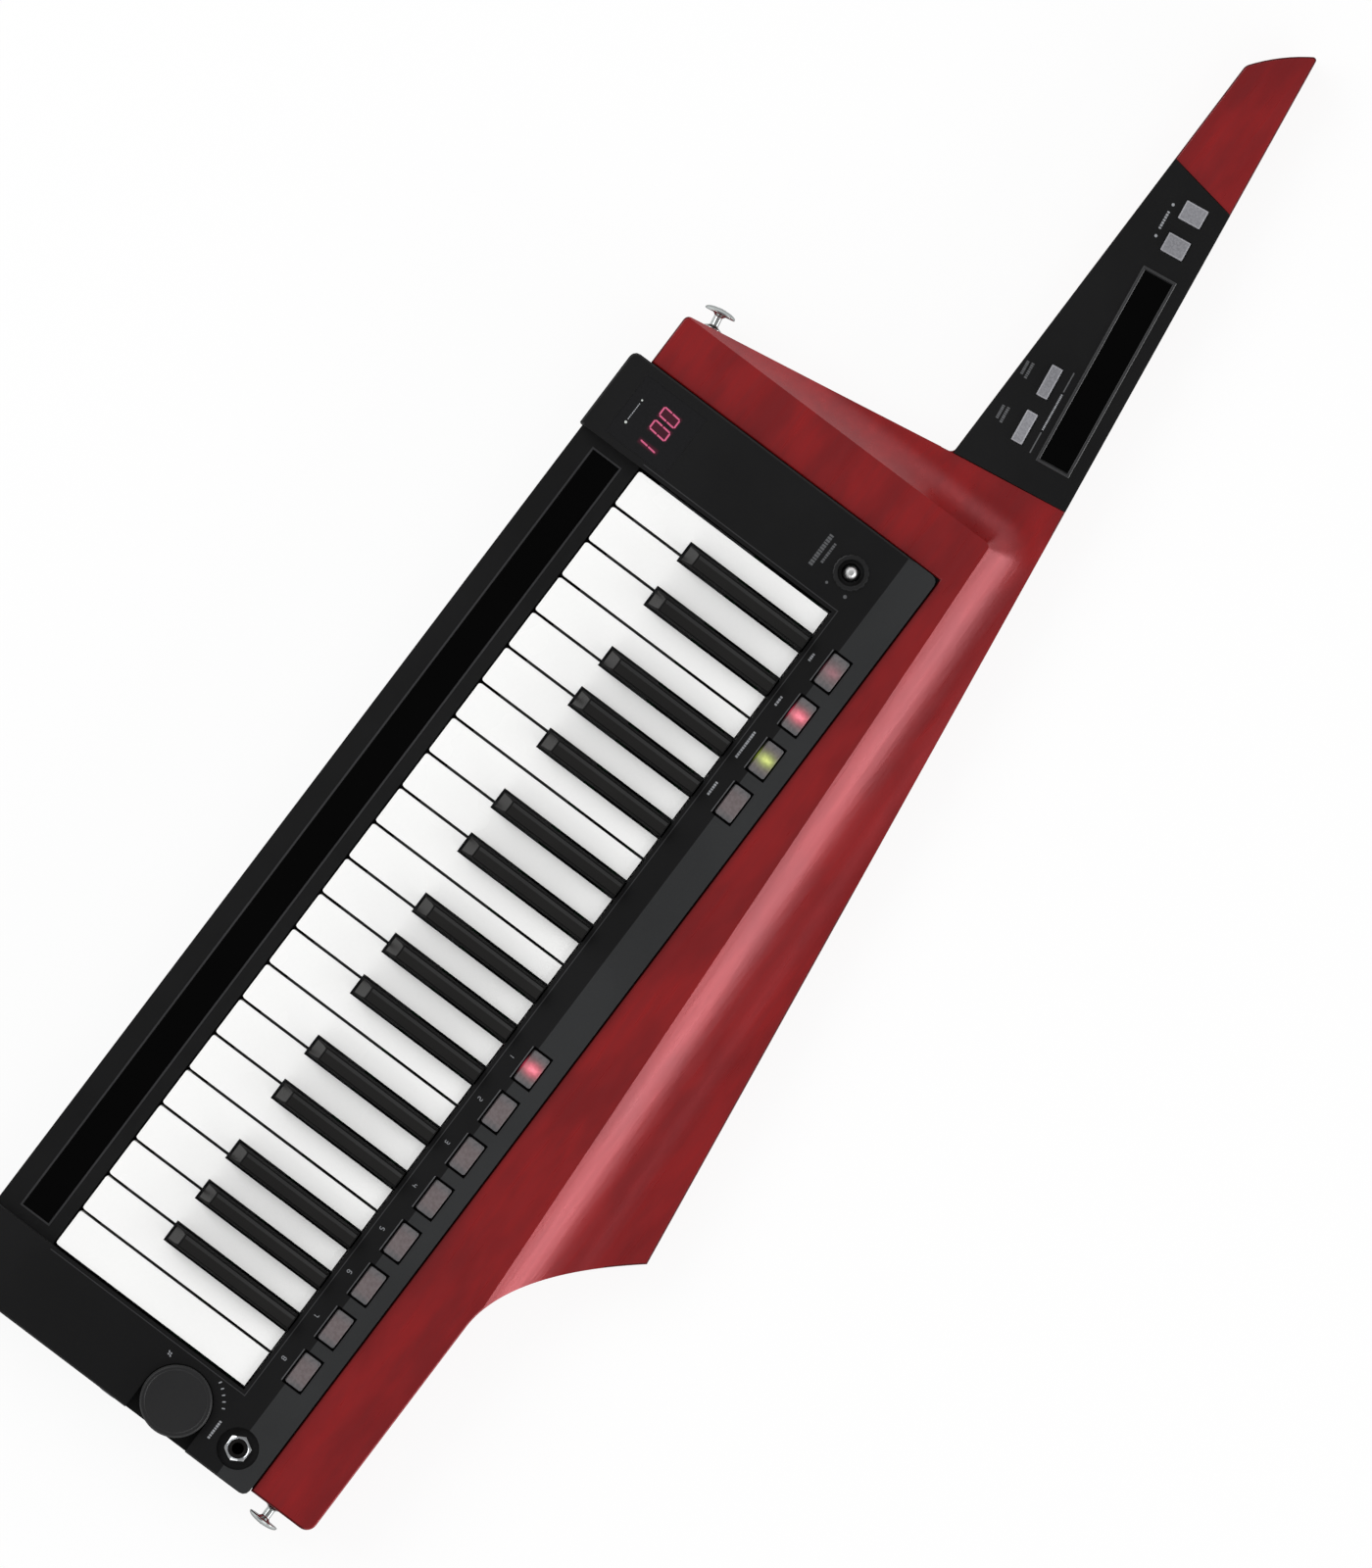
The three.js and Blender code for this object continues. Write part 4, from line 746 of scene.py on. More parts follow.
def neck_panel_outline(inset, end_inset):
    lean = math.tan(PANEL_LEAN)
    rise = math.tan(NECK_RISE)
    low = NECK_LOWER + inset

    def left(y):
        return NECK_PANEL_HEAD + (y - NECK_LOWER) * lean + end_inset

    def right(y):
        return NECK_ROOT.x - (y - NECK_LOWER) * lean - end_inset

    def high(edge, side):
        height = upper_edge(edge(NECK_LOWER)) - inset / math.cos(NECK_RISE) - NECK_LOWER
        y = NECK_LOWER + height / (1 - side * rise * lean)
        return (edge(y), y)

    return [(left(low), low), (right(low), low), high(right, -1), high(left, 1)]


CHAMFER_DEPTH, CHAMFER_RUNOUT, CHAMFER_HEEL = 7, 26, 12


def neck_chamfer(nose, heel, side):
    """A three-sided bar along a lower edge of the neck, which runs out before the heel."""
    along = (heel - nose).normalized()
    over = OVERSHOOT
    rings = []
    for foot, deep in ((nose, CHAMFER_DEPTH), (heel - along * CHAMFER_RUNOUT, CHAMFER_DEPTH), (heel, -0.5)):
        section = ((-over, -over), (deep + over, -over), (-over, deep + over))
        rings.append([place(*(foot + left_of(along) * side * across), up) for across, up in section])
    return skin(rings)


def on_wood_edge(middle, normal):
    """True on the rounding of the wood's upper outer edges, which is painted darker as shade."""
    if not 0.1 < normal.z < 0.995:
        return False
    outward = normal.y < -0.2 or middle.x > WOOD_BUTT - WOOD_ROUNDING
    return middle.z < WING - 0.03 or (outward and middle.z > PLATEAU - WOOD_ROUNDING)


RAISED_INSET, RAISED_FOOT = 0.03, 4


def wood_body():
    outline = wood_outline()
    body = solid("wood_body_form", rounded_slab(outline, 0, WING, WOOD_ROUNDING))
    raised = solid("raised", cove_solid())
    path = [point for point, angle, width in ridge_path()]
    above, beyond = PLATEAU + OVERSHOOT, WOOD_BUTT + OVERSHOOT
    plateau = [*path, Vector((beyond, path[-1].y)), Vector((beyond, path[0].y))]
    limits = rounded_slab(inset_outline(outline, RAISED_INSET), RAISED_FOOT, PLATEAU, WOOD_ROUNDING)
    combine(raised, "UNION", solid("plateau", prism(plateau, 0, above)))
    combine(raised, "INTERSECT", solid("limits", limits))
    combine(body, "UNION", raised)
    seat = NECK_TOP - PANEL_DEPTH - SEAT_GAP
    recess = prism(neck_panel_outline(-OVERSHOOT, -SEAT_GAP), seat, above)
    combine(body, "DIFFERENCE", solid("recess", recess))
    nose, heel = HEAD_TIP - OVERSHOOT, NECK_ROOT.x - CHAMFER_HEEL
    for side, edge in ((1, lambda x: NECK_LOWER), (-1, upper_edge)):
        ends = [Vector((x, edge(x))) for x in (nose, heel)]
        combine(body, "DIFFERENCE", solid("chamfer", neck_chamfer(*ends, side)))
    mesh = body.data
    bpy.data.objects.remove(body)
    with edited(mesh) as work:
        bmesh.ops.remove_doubles(work, verts=work.verts, dist=5e-6)
        bmesh.ops.recalc_face_normals(work, faces=work.faces)
    shade(mesh, 24)
    piece = add_piece("wood_body_form", mesh, MATERIALS["stained wood"])
    # The rounded edges take the darker wood: painted shade.
    second_finish(piece, WOOD_EDGE_PAINTED_SHADE, on_wood_edge)
    piece.modifiers.new("even_shading", "WEIGHTED_NORMAL").keep_sharp = True
    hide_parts("wood_body")


wood_body()


# Keys: the caps' visible edges are rounded

KEY_DRAFT = 0.2
SLOPE_BORDER, SLOPE_RAISE = 1.1, 0.12
TOP_BEVEL, TOP_BEVEL_DROP = 2.1, 0.3
CAP_FOOT, CAP_DEPTH, CAP_REAR, CAP_MIDDLE = 37, 13.2, 110, 60
NEAR = 0.01


def on_cap(top):
    """A rule that picks the visible edges of a cap whose top is at a height."""
    return lambda middle: middle.z > max(CAP_FOOT, top - CAP_DEPTH) and middle.y < CAP_REAR


def level_top(work):
    """The largest level face at the top of a key."""
    level = [face for face in work.faces if face.normal.z > 0.99]
    height = max(face.calc_center_median().z for face in level)
    highest = [face for face in level if face.calc_center_median().z > height - MM]
    return max(highest, key=lambda face: face.calc_area())


def white_key(node):
    """A white key whose sides lean in a little towards its top."""
    key = copied(node, "white keys")
    with edited(key.data) as work:
        corners = level_top(work).verts
        for corner, spot in zip(corners, inset_outline([corner.co.xy for corner in corners], KEY_DRAFT * MM)):
            corner.co.xy = spot
    # The sides are painted grey: painted shade in the gaps.
    second_finish(key, WHITE_KEY_SIDES_PAINTED_SHADE, lambda middle, normal: abs(normal.x) > 0.9)
    soften(key, 0.4, 3, on_cap(WHITE_TOP), material=0)


def black_key(node):
    """A black key with a front slope and top bevels; its border and sides painted dark as shade, one side's
    bevels painted light as a highlight.
    """
    key = copied(node, "black keys")
    centre = middle_of(node).x
    with edited(key.data) as work:
        steep = [face for face in work.faces if face.normal.z > 0.3 and face.normal.y < -0.5]
        slope = max(steep, key=lambda face: face.calc_center_median().z)
        run_share = slope.normal.z / -slope.normal.y
        drawn_in = {"thickness": SLOPE_BORDER * MM, "depth": SLOPE_RAISE * MM}
        border = bmesh.ops.inset_individual(work, faces=[slope], **drawn_in)["faces"]
        upper = max(border, key=lambda face: face.calc_center_median().z)
        # All of the slope's border but its upper edge takes the dark sides' plastic: painted shade.
        for face in border:
            face.material_index = 0 if face is upper else 1
        for side in (-1, 1):
            top = level_top(work)
            reach = max(abs(in_key_frame(corner.co).x - centre) for corner in top.verts)
            line = place(centre + side * (reach - TOP_BEVEL), 0)
            parts = [top, *top.edges, *top.verts]
            cut = bmesh.ops.bisect_plane(work, geom=parts, plane_co=line, plane_no=(1, 0, 0))
            for part in cut["geom_cut"]:
                if isinstance(part, bmesh.types.BMEdge):
                    part.smooth = False
        height = in_key_frame(level_top(work).verts[0].co).z
        for corner in work.verts:
            spot = in_key_frame(corner.co)
            if spot.z > height - NEAR and abs(spot.x - centre) > reach - NEAR:
                forward = run_share * TOP_BEVEL_DROP if spot.y < CAP_MIDDLE else 0
                corner.co = place(spot.x, spot.y - forward, spot.z - TOP_BEVEL_DROP)

    # Only the top bevels that lean towards the neck, painted lighter as a highlight.
    def on_highlight_bevel(middle, normal):
        return normal.z > 0.98 and -0.3 < normal.x < -0.05 and middle.z > height - 1

    # The steep sides and the front face take the dark plastic: painted shade.
    second_finish(key, KEY_SIDES_PAINTED_SHADE, lambda middle, normal: abs(normal.x) > 0.8 or normal.y < -0.95)
    second_finish(key, KEY_BEVEL_PAINTED_HIGHLIGHT, on_highlight_bevel)
    # The rounded edges take the dark plastic as well: painted shade.
    soften(key, 0.5, 3, on_cap(BLACK_TOP), material=1)


for node in sorted(frame["nodes"]):
    if node.startswith("white_key"):
        white_key(node)
    elif node.startswith("black_key"):
        black_key(node)


# Panel, case and the plain pieces


def panel_edges(middle):
    if abs(middle.z - CHANNEL_TOP) < 0.5 and middle.y < HOUSING_FRONT + 6:
        return 1
    if middle.z < PANEL_TOP - 3.6 or middle.z > PANEL_TOP + 0.1:
        return 0
    outer_front = middle.y < HOUSING_FRONT + 1.5 and middle.z > PANEL_TOP - 2
    return 1 if outer_front else 0.2


panel = copied("keyboard_panel", "black shell")
crease_flats(panel.data)
# The rear slope takes the lighter plastic: a painted highlight.
second_finish(panel, SLOPE_SHELL_PAINTED_HIGHLIGHT, lambda middle, normal: middle.y > FOLD_LINE and 0.1 < normal.y < 0.4)
soften(panel, 1.5, 3, panel_edges, angle=20)
soften(copied("lower_case", "black shell"), 0.3, 2, lambda middle: middle.z < 2, angle=20)
soften(copied("neck_panel", "black shell"), 0.3, 2, lambda middle: middle.z > NECK_TOP - 0.2)

BUTTON_BORDER, BUTTON_SINK = 0.9, 0.2


def sink_middle(piece, node):
    """Sinks the middle of a button's top a little, and gives it a darker silver."""
    with edited(piece.data) as work:
        top = max(work.faces, key=lambda face: face.calc_center_median().z)
        inset = {"thickness": BUTTON_BORDER * MM, "depth": -BUTTON_SINK * MM}
        bmesh.ops.inset_individual(work, faces=[top], **inset)
    border = corners_of(node)[1].z
    sunk = border - BUTTON_SINK / 2
    second_finish(piece, SILVER_MIDDLE, lambda middle, normal: normal.z > 0.999 and middle.z < sunk)


for node, slot, width in (
    ("long_ribbon", "gloss black", 0.2),
    ("short_ribbon", "gloss black", 0.2),
    ("battery_cover", "black shell", 0.4),
    ("power_button", "silver caps", 0.5),
    ("octave_down_button", "silver caps", 0.4),
    ("octave_up_button", "silver caps", 0.4),
    ("ribbon_mode_button", "silver caps", 0.4),
    ("ribbon_select_button", "silver caps", 0.4),
):
    piece = copied(node, slot)
    if node.startswith(("octave", "ribbon")):
        sink_middle(piece, node)
    soften(piece, width, 3)
for node, slot in (("key_chassis", "steel"), ("contact_strip", "rubber")):
    frame["nodes"][node].data.materials.clear()
    frame["nodes"][node].data.materials.append(MATERIALS[slot])


SOCKET_REACH, SOCKET_RISE, SOCKET_REAR = 24, 8.4, 60


def in_sockets(middle, normal):
    level = middle.z < SOCKET_LEVEL + SOCKET_RISE
    return level and middle.x > HOUSING_RIGHT - SOCKET_REACH and middle.y < SOCKET_REAR


# The board round its sockets is near-black: their plastic, and painted shade in them.
second_finish(copied("main_board", "board"), DARK_PLASTIC_AND_SHADE, in_sockets)


# A dark strip that fills the seam between housing and wood: painted shade in the gap

SEAM_BITE = 0.05
seam_wood = (HOUSING_LEFT - SEAT_GAP - SEAM_BITE, HOUSING_REAR + SEAT_GAP + SEAM_BITE)
seam_shell = (HOUSING_LEFT + 0.2, HOUSING_REAR - 0.2)
seam_foot, seam_end = WOOD_CORNER.y + 1.5, WOOD_BUTT - 1.5
seam = [(seam_wood[0], seam_foot), (seam_shell[0], seam_foot), (seam_shell[0], seam_shell[1] - 3)]
seam += [(seam_shell[0] + 3, seam_shell[1]), (seam_end, seam_shell[1]), (seam_end, seam_wood[1]), seam_wood]
slab("seam_painted_shade", seam, 1, PLATEAU - WOOD_ROUNDING - 0.4, DARK_RUBBER_AND_GAP_SHADE, slot="rubber")


# Round pieces, turned finer than the CAD's. A profile's corners are (radius, height, rounding)


def upright(middle):
    return Matrix.Translation(place(middle.x, middle.y))


knob_low, knob_high = corners_of("volume_knob")
KNOB = middle_of("volume_knob")
KNOB_RADIUS = (knob_high.x - knob_low.x) / 2
STEM_RADIUS, WELL_DEPTH, KNOB_CLEARANCE = 3, 10, 0.45
knob_floor = PANEL_TOP - WELL_DEPTH + KNOB_CLEARANCE
knob_profile = [
    (0, knob_low.z, 0),
    (STEM_RADIUS, knob_low.z, 0.3),
    (STEM_RADIUS, knob_floor, 0),
    (KNOB_RADIUS - 0.5, knob_floor, 0.3),
    (KNOB_RADIUS, knob_floor + 1, 0.5),
    (KNOB_RADIUS, knob_high.z - 0.9, 0.6),
    (KNOB_RADIUS - 0.9, knob_high.z, 0.5),
    (KNOB_RADIUS - 2.1, knob_high.z, 0.3),
    (KNOB_RADIUS - 2.5, knob_high.z - 0.3, 0.3),
    (0, knob_high.z - 0.3, 0),
]
turned(
    "volume_knob_form", knob_profile, upright(KNOB), MATERIALS["knob"], "volume_knob", "knob", "volume_knob"
)

toggle_low, toggle_high = corners_of("value_toggle")
TOGGLE = middle_of("value_toggle")
BALL_RADIUS, TIP_RADIUS = 4.2, 2.9
toggle_profile = [
    (0, toggle_low.z, 0),
    *arc(BALL_RADIUS, toggle_low.z + BALL_RADIUS, -80, 62),
    (1.7, toggle_high.z - 2 * TIP_RADIUS, 0.8),
    *arc(TIP_RADIUS, toggle_high.z - TIP_RADIUS, -45, 55),
    (1.4, toggle_high.z - 0.25, 0.3),
    (0, toggle_high.z - 0.2, 0),
]
toggle_look = (MATERIALS["satin tip"], "value_toggle", "chrome", "value_toggle")
turned("value_toggle_form", toggle_profile, upright(TOGGLE), *toggle_look)

RING_RADIUS, RING_HOLE, NOTCH_DEPTH = 8.5, 6.3, 0.35
ring = [
    (RING_HOLE, PANEL_TOP - 0.5, 0),
    (RING_RADIUS + 0.05, PANEL_TOP - 0.5, 0),
    (RING_RADIUS + 0.05, RING_TOP - 0.1, 0.1),
    (RING_RADIUS - 0.5, RING_TOP + 0.15, 0.3),
    (RING_HOLE + 0.2, RING_TOP + 0.15, 0.15),
    (RING_HOLE, RING_TOP, 0.1),
]
collar = turned("toggle_ring", ring, upright(TOGGLE), COLLAR_PLASTIC, slot="black shell")
for vertex in collar.data.vertices:
    reach = vertex.co.xy.length
    around = math.atan2(vertex.co.y, vertex.co.x)
    if reach > (RING_HOLE + 0.5) * MM and round(around / (2 * math.pi / TURN_SIDES)) % 4 == 0:
        vertex.co.xy *= 1 - NOTCH_DEPTH * MM / reach

jack_low, jack_high = corners_of("headphone_jack")
JACK = middle_of("headphone_jack")
NUT_TOP = jack_high.z - 1.1
NUT_FLATS, NUT_HEIGHT, NUT_BORE = 11.3, 2.4, 4.65
BORE, BARREL, SOCKET_BODY = 3.3, 4.6, 8
jack_profile = [
    (BORE, jack_low.z + 2, 0),
    (BORE, jack_low.z, 0),
    (SOCKET_BODY, jack_low.z, 0.3),
    (SOCKET_BODY, jack_low.z + 16, 0.3),
    (BARREL, jack_low.z + 16, 0),
    (BARREL, jack_high.z, 0.35),
    (BORE, jack_high.z, 0.3),
]
sleeve_profile = [
    (0, jack_low.z + 1.5, 0),
    (BORE - 0.02, jack_low.z + 1.5, 0),
    (BORE - 0.02, jack_high.z - 0.5, 0),
    (BORE - 0.5, jack_high.z - 0.7, 0.1),
    (BORE - 0.5, jack_low.z + 3, 0),
    (0, jack_low.z + 3, 0),
]
jack_look = {"slot": "chrome", "node": "headphone_jack"}
jack = turned("headphone_jack_form", jack_profile, upright(JACK), MATERIALS["chrome"], **jack_look)
second_finish(jack, DARK_PLASTIC_AND_SHADE, lambda middle, normal: middle.z > NUT_TOP - 0.6)
# The sleeve in the bore is dark plastic, and paints the bore's shade as well.
turned("headphone_sleeve", sleeve_profile, upright(JACK), DARK_PLASTIC_AND_SHADE, slot="rubber")


def hexagon_nut(name, middle, sides=72):
    """A nut whose upper corners are turned off at 30 degrees."""
    half = NUT_FLATS / 2
    seat = half * 0.93
    bore, bottom, top = NUT_BORE, NUT_TOP - NUT_HEIGHT, NUT_TOP
    rings = []
    for side in range(sides):
        angle = 2 * math.pi * side / sides
        reach = half / math.cos(angle % (math.pi / 3) - math.pi / 6)
        shoulder = top - (reach - seat) * math.tan(math.pi / 6)
        section = [(bore, bottom), (reach, bottom), (reach, shoulder)]
        section += [(seat, top), (bore + 0.5, top), (bore, top - 0.4)]
        rings.append([place(*(middle.xy + heading(angle) * radius), height) for radius, height in section])
    mesh = mesh_from(name, *skin(rings, looped=True))
    shade(mesh, 25)
    add_piece(name, mesh, MATERIALS["chrome"])


hexagon_nut("headphone_nut", JACK)


# Strap pins: a flared foot, a slim stem, and a thin domed head with its screw

PIN_LEVEL = middle_of("butt_strap_pin").z
PIN_RADIUS, PIN_STEM, PIN_FOOT = 7.7, 2.1, 4.3
DOME_FOOT, DOME_RISE = 8.2, 2.3
DOME_SHARES = (0.96, 0.88, 0.78, 0.66, 0.54)
SCREW_SHARE = 0.43


def dome(share):
    """The height of the domed head at a share of its radius."""
    return DOME_FOOT + DOME_RISE * math.sqrt(1 - share**2)


def strap_pin(node, x, y, angle):
    profile = [
        (0, -14, 0),
        (1.8, -14, 0),
        (1.8, 0.3, 0),
        (PIN_FOOT, 0.3, 0.1),
        (PIN_FOOT, 0.7, 0.2),
        (PIN_STEM, 1.8, 1.0),
        (PIN_STEM, 6.6, 1.0),
        (4.4, 8.5, 1.2),
        (PIN_RADIUS - 0.3, 7.6, 0.2),
        (PIN_RADIUS, DOME_FOOT, 0.2),
        *((PIN_RADIUS * share, dome(share), 0) for share in DOME_SHARES),
        (3.3, dome(SCREW_SHARE), 0.1),
        (3.15, dome(SCREW_SHARE) - 0.5, 0),
        (2.95, dome(SCREW_SHARE) - 0.5, 0),
        (2.8, dome(SCREW_SHARE), 0.15),
        (0, DOME_FOOT + DOME_RISE, 0),
    ]
    out = Matrix.Rotation(angle, 4, "Z") @ Matrix.Rotation(math.pi / 2, 4, "Y")
    at = Matrix.Translation(place(x, y, PIN_LEVEL)) @ out
    turned(node + "_form", profile, at, PIN_METAL, slot="chrome", node=node)
    top = DOME_FOOT + DOME_RISE
    # A dark cross on the screw head stands in for its slot: painted shade, with no slot cut.
    for letter, turn in (("b", 0), ("a", math.pi / 2)):
        name = f"{node}_slot_{letter}"
        slab(name, bar(0, 0, 3.6, 0.8, turn), top - 0.6, top - 0.04, DARK_PLASTIC_AND_SHADE, slot="chrome", at=at)


PIN_FROM_CORNER = 13
pin_line = WOOD_CORNER.y + PIN_FROM_CORNER
strap_pin("neck_strap_pin", WOOD_CORNER.x - PIN_FROM_CORNER * LEAN, pin_line, math.pi + math.atan(LEAN))
strap_pin("butt_strap_pin", WOOD_BUTT, HOUSING_REAR + 13.1, 0)


# Keypads: webs, and a cap for each button with its own lamp

CAP_ROW = HOUSING_REAR - 13.4
CAP_LENGTH, CAP_WIDTH, CAP_RADIUS, CAP_ROUNDING = 16.3, 8.8, 0.9, 0.4
CAP_LEVELS = (-4.0, 1.1)
WEB_MARGIN, WEB_SHIFT, WEB_LEVELS = 4.4, 1.1, (-4.55, -3.45)
CAP_HEIGHT = PANEL_TOP - (CAP_ROW - FOLD_LINE) * math.tan(BEVEL_ANGLE)
FUNCTION_CAPS = [21.4 + 25.24 * index for index in range(4)]
FAVOURITE_CAPS = [250.82 + 25 * index for index in range(8)]
CAP_LAMPS = {"function_cap_1": "faint", "function_cap_2": "red", "function_cap_3": "green"}
CAP_LAMPS["favourite_cap_1"] = "red"


def slope_place(x):
    return Matrix.Translation(place(x, CAP_ROW, CAP_HEIGHT)) @ Matrix.Rotation(-BEVEL_ANGLE, 4, "X")


cap_outline = rounded_outline([(spot, CAP_RADIUS) for spot in bar(0, 0, CAP_LENGTH, CAP_WIDTH)], 4)
for kind, caps in (("function", FUNCTION_CAPS), ("favourite", FAVOURITE_CAPS)):
    body = kind + "_keypad"
    web_length = caps[-1] - caps[0] + CAP_LENGTH + WEB_MARGIN
    web_outline = bar(0, WEB_SHIFT, web_length, CAP_WIDTH + WEB_MARGIN)
    middle = slope_place((caps[0] + caps[-1]) / 2)
    # The web is near-black: dark rubber, and painted shade in the gaps between the caps.
    web = slab(body + "_web", web_outline, *WEB_LEVELS, DARK_RUBBER_AND_GAP_SHADE, body, "smoked caps", middle)
    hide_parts(body)
    for index, x in enumerate(caps):
        name = f"{kind}_cap_{index + 1}"
        finish = CAP_GLOWS[CAP_LAMPS[name]] if name in CAP_LAMPS else MATERIALS["smoked caps"]
        cap = slab(name, cap_outline, *CAP_LEVELS, finish, body, "smoked caps", slope_place(x))
        shade(cap.data, 40)
        round_edges(cap, CAP_ROUNDING, 3, "ANGLE").angle_limit = math.radians(50)


# The thin rim round the long ribbon, in a lighter plastic that paints a highlight on its edge

ribbon_low, ribbon_high = corners_of("long_ribbon")
channel_rim = [(0.2, -0.4), (0.2, 0.15), (1.0, 0.15), (1.2, -0.1)]
ring_frame(
    "channel_rim",
    middle_of("long_ribbon").xy,
    (ribbon_high - ribbon_low).xy,
    0,
    [(outset, CHANNEL_TOP + rise) for outset, rise in channel_rim],
    RIM_PAINTED_HIGHLIGHT,
)


# Printed marks on the panel, and the rim round the keys: a lighter strip, a painted highlight on the well's
# edge

PRINT_RISE = 0.03
SEGMENTS = dict(zip("012345678", "abcdef bc abged abgcd fgbc afgcd afgedc abc abcdefg".split()))


def segment_outlines(digit, x, y, width, height, stroke, slant=0.0):
    """The lit bars of a seven-segment digit whose lower left corner is given."""
    half = height / 2
    bars = {
        "a": (0, height, width, height),
        "b": (width, half, width, height),
        "c": (width, 0, width, half),
        "d": (0, 0, width, 0),
        "e": (0, 0, 0, half),
        "f": (0, half, 0, height),
        "g": (0, half, width, half),
    }
    outlines = []
    for name in SEGMENTS[digit]:
        x0, y0, x1, y1 = bars[name]
        along = Vector((x1 - x0, y1 - y0)).normalized()
        side, tip, cut = left_of(along) * stroke / 2, along * stroke / 2, along * stroke * 0.6
        start, end = Vector((x0, y0)) + cut, Vector((x1, y1)) - cut
        shape = [start - tip, start - side, end - side, end + tip, end + side, start + side]
        outlines.append([(x + p.x + slant * p.y, y + p.y) for p in shape])
    return outlines


def marks(name, outlines, levels, material):
    """Several flat marks as one piece."""
    points, faces = [], []
    for outline in outlines:
        part, sides = prism(outline, *levels)
        faces += [tuple(len(points) + index for index in face) for face in sides]
        points += part
    add_piece(name, mesh_from(name, points, faces), material)


def word(cx, cy, length, height, parts, turn=0.0):
    """A row of short blocks that stands for a line of small print."""
    outlines = []
    pitch = length / parts
    for index in range(parts):
        spot = Vector((cx, cy)) + heading(turn) * (index - (parts - 1) / 2) * pitch
        outlines.append(bar(*spot, pitch * (0.8 if index % 3 else 0.62), height, turn))
    return outlines


RIM_OUT, RIM_WIDTH = 2.8, 0.5
rim_left, rim_right, rim_rear = -RIM_OUT, KEYS_END + RIM_OUT, WELL_REAR + 1.9
rim = [bar(x, rim_rear / 2, RIM_WIDTH, rim_rear + RIM_WIDTH) for x in (rim_left, rim_right)]
rim.append(bar((rim_left + rim_right) / 2, rim_rear, rim_right - rim_left - RIM_WIDTH, RIM_WIDTH))
marks("key_rim_painted_highlight", rim, (PANEL_TOP - 0.2, PANEL_TOP + 0.12), RIM_PAINTED_HIGHLIGHT)

DIGIT_WIDTH, DIGIT_HEIGHT, DIGIT_FOOT, DIGIT_STROKE, DIGIT_SLANT = 4.6, 9.2, -8.3, 0.8, 0.1
GLOWS = ((-27.2, 2.2), (-19.8, 2.2), (-10.7, 0.6))
DIGITS = (("0", -30.0), ("0", -22.6), ("1", -15.7))
DOT_LINE = -18.6
WINDOW_MARGIN = 0.45
window_low, window_high = corners_of("display_window")
window_size = (window_high - window_low).xy + Vector((WINDOW_MARGIN, WINDOW_MARGIN))
digit_middle = DIGIT_FOOT + DIGIT_HEIGHT / 2
glass = display_glass([(x, digit_middle, wide, DIGIT_HEIGHT / 2) for x, wide in GLOWS])
window_outline = bar(*middle_of("display_window").xy, *window_size)
window = slab(
    "display_window_form", window_outline, window_low.z, window_high.z, glass, slot="gloss black"
)
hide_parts("display_window")
window_top = (PANEL_TOP, PANEL_TOP + 0.04)
digits = []
for digit, x in DIGITS:
    digits += segment_outlines(digit, x, DIGIT_FOOT, DIGIT_WIDTH, DIGIT_HEIGHT, DIGIT_STROKE, DIGIT_SLANT)
marks("display_digits", digits, window_top, DIGIT_LIT)
marks("display_dots", [disc(-26.0, DOT_LINE, 0.45), disc(-13.5, DOT_LINE, 0.65)], window_top, DOT_LIT)
marks("display_scale", word(-19.75, DOT_LINE, 9.5, 0.45, 9), window_top, WHITE_PRINT)

flat = (PANEL_TOP, PANEL_TOP + PRINT_RISE)
FUNCTION_WORDS = (4.4, 5.6, 15.0, 7.6)
LETTER_PITCH, SMALL_PRINT = 1.25, 1.2
prints = []
for x, length in zip(FUNCTION_CAPS, FUNCTION_WORDS):
    prints += word(x, 115.2, length, SMALL_PRINT, max(3, round(length / LETTER_PITCH)))
faint_prints = word(TOGGLE.x - 0.3, 88.8, 17.4, 2.2, 12) + word(TOGGLE.x - 1.1, 92.5, 11.2, 1.3, 9)
faint_prints += [disc(-10.1, 110.7, 0.9), disc(-10.4, 99.9, 0.7)]
prints += word(JACK.x - 0.6, 110.4, 10.2, SMALL_PRINT, 8)
for index, x in enumerate(FAVOURITE_CAPS):
    numeral = segment_outlines(str(index + 1), x - 0.4, 115.0, 1.2, 2.2, 0.3)
    marks(f"numeral_{index + 1}", numeral, flat, WHITE_PRINT)

SCALE_REACH, START_ANGLE, SCALE_ANGLE, SCALE_STEP = 22.1, math.radians(224.6), 150, 8
start_mark = KNOB.xy + heading(START_ANGLE) * SCALE_REACH
prints += [bar(*start_mark, 3.0, 0.7, START_ANGLE), bar(*start_mark, 0.7, 2.2, START_ANGLE)]
for step in range(5):
    angle = math.radians(SCALE_ANGLE - SCALE_STEP * step)
    prints.append(bar(*(KNOB.xy + heading(angle) * SCALE_REACH), 1.5, 0.6, angle))
marks("panel_print", prints, flat, WHITE_PRINT)
# A thin lighter strip along the rear edge of each cap's opening, in the faint print's grey.
faint_prints += [bar(x, 121.1, CAP_LENGTH + 1.4, 0.45) for x in FUNCTION_CAPS + FAVOURITE_CAPS]
marks("faint_print", faint_prints, flat, FAINT_PRINT)


# Neck: the bevelled lip of its ribbon, and printed marks laid along its upper edge

neck_levels = (NECK_TOP, NECK_TOP + PRINT_RISE)


def on_neck(from_head, below_edge):
    x = NECK_PANEL_HEAD + from_head
    return x, upper_edge(x) - below_edge


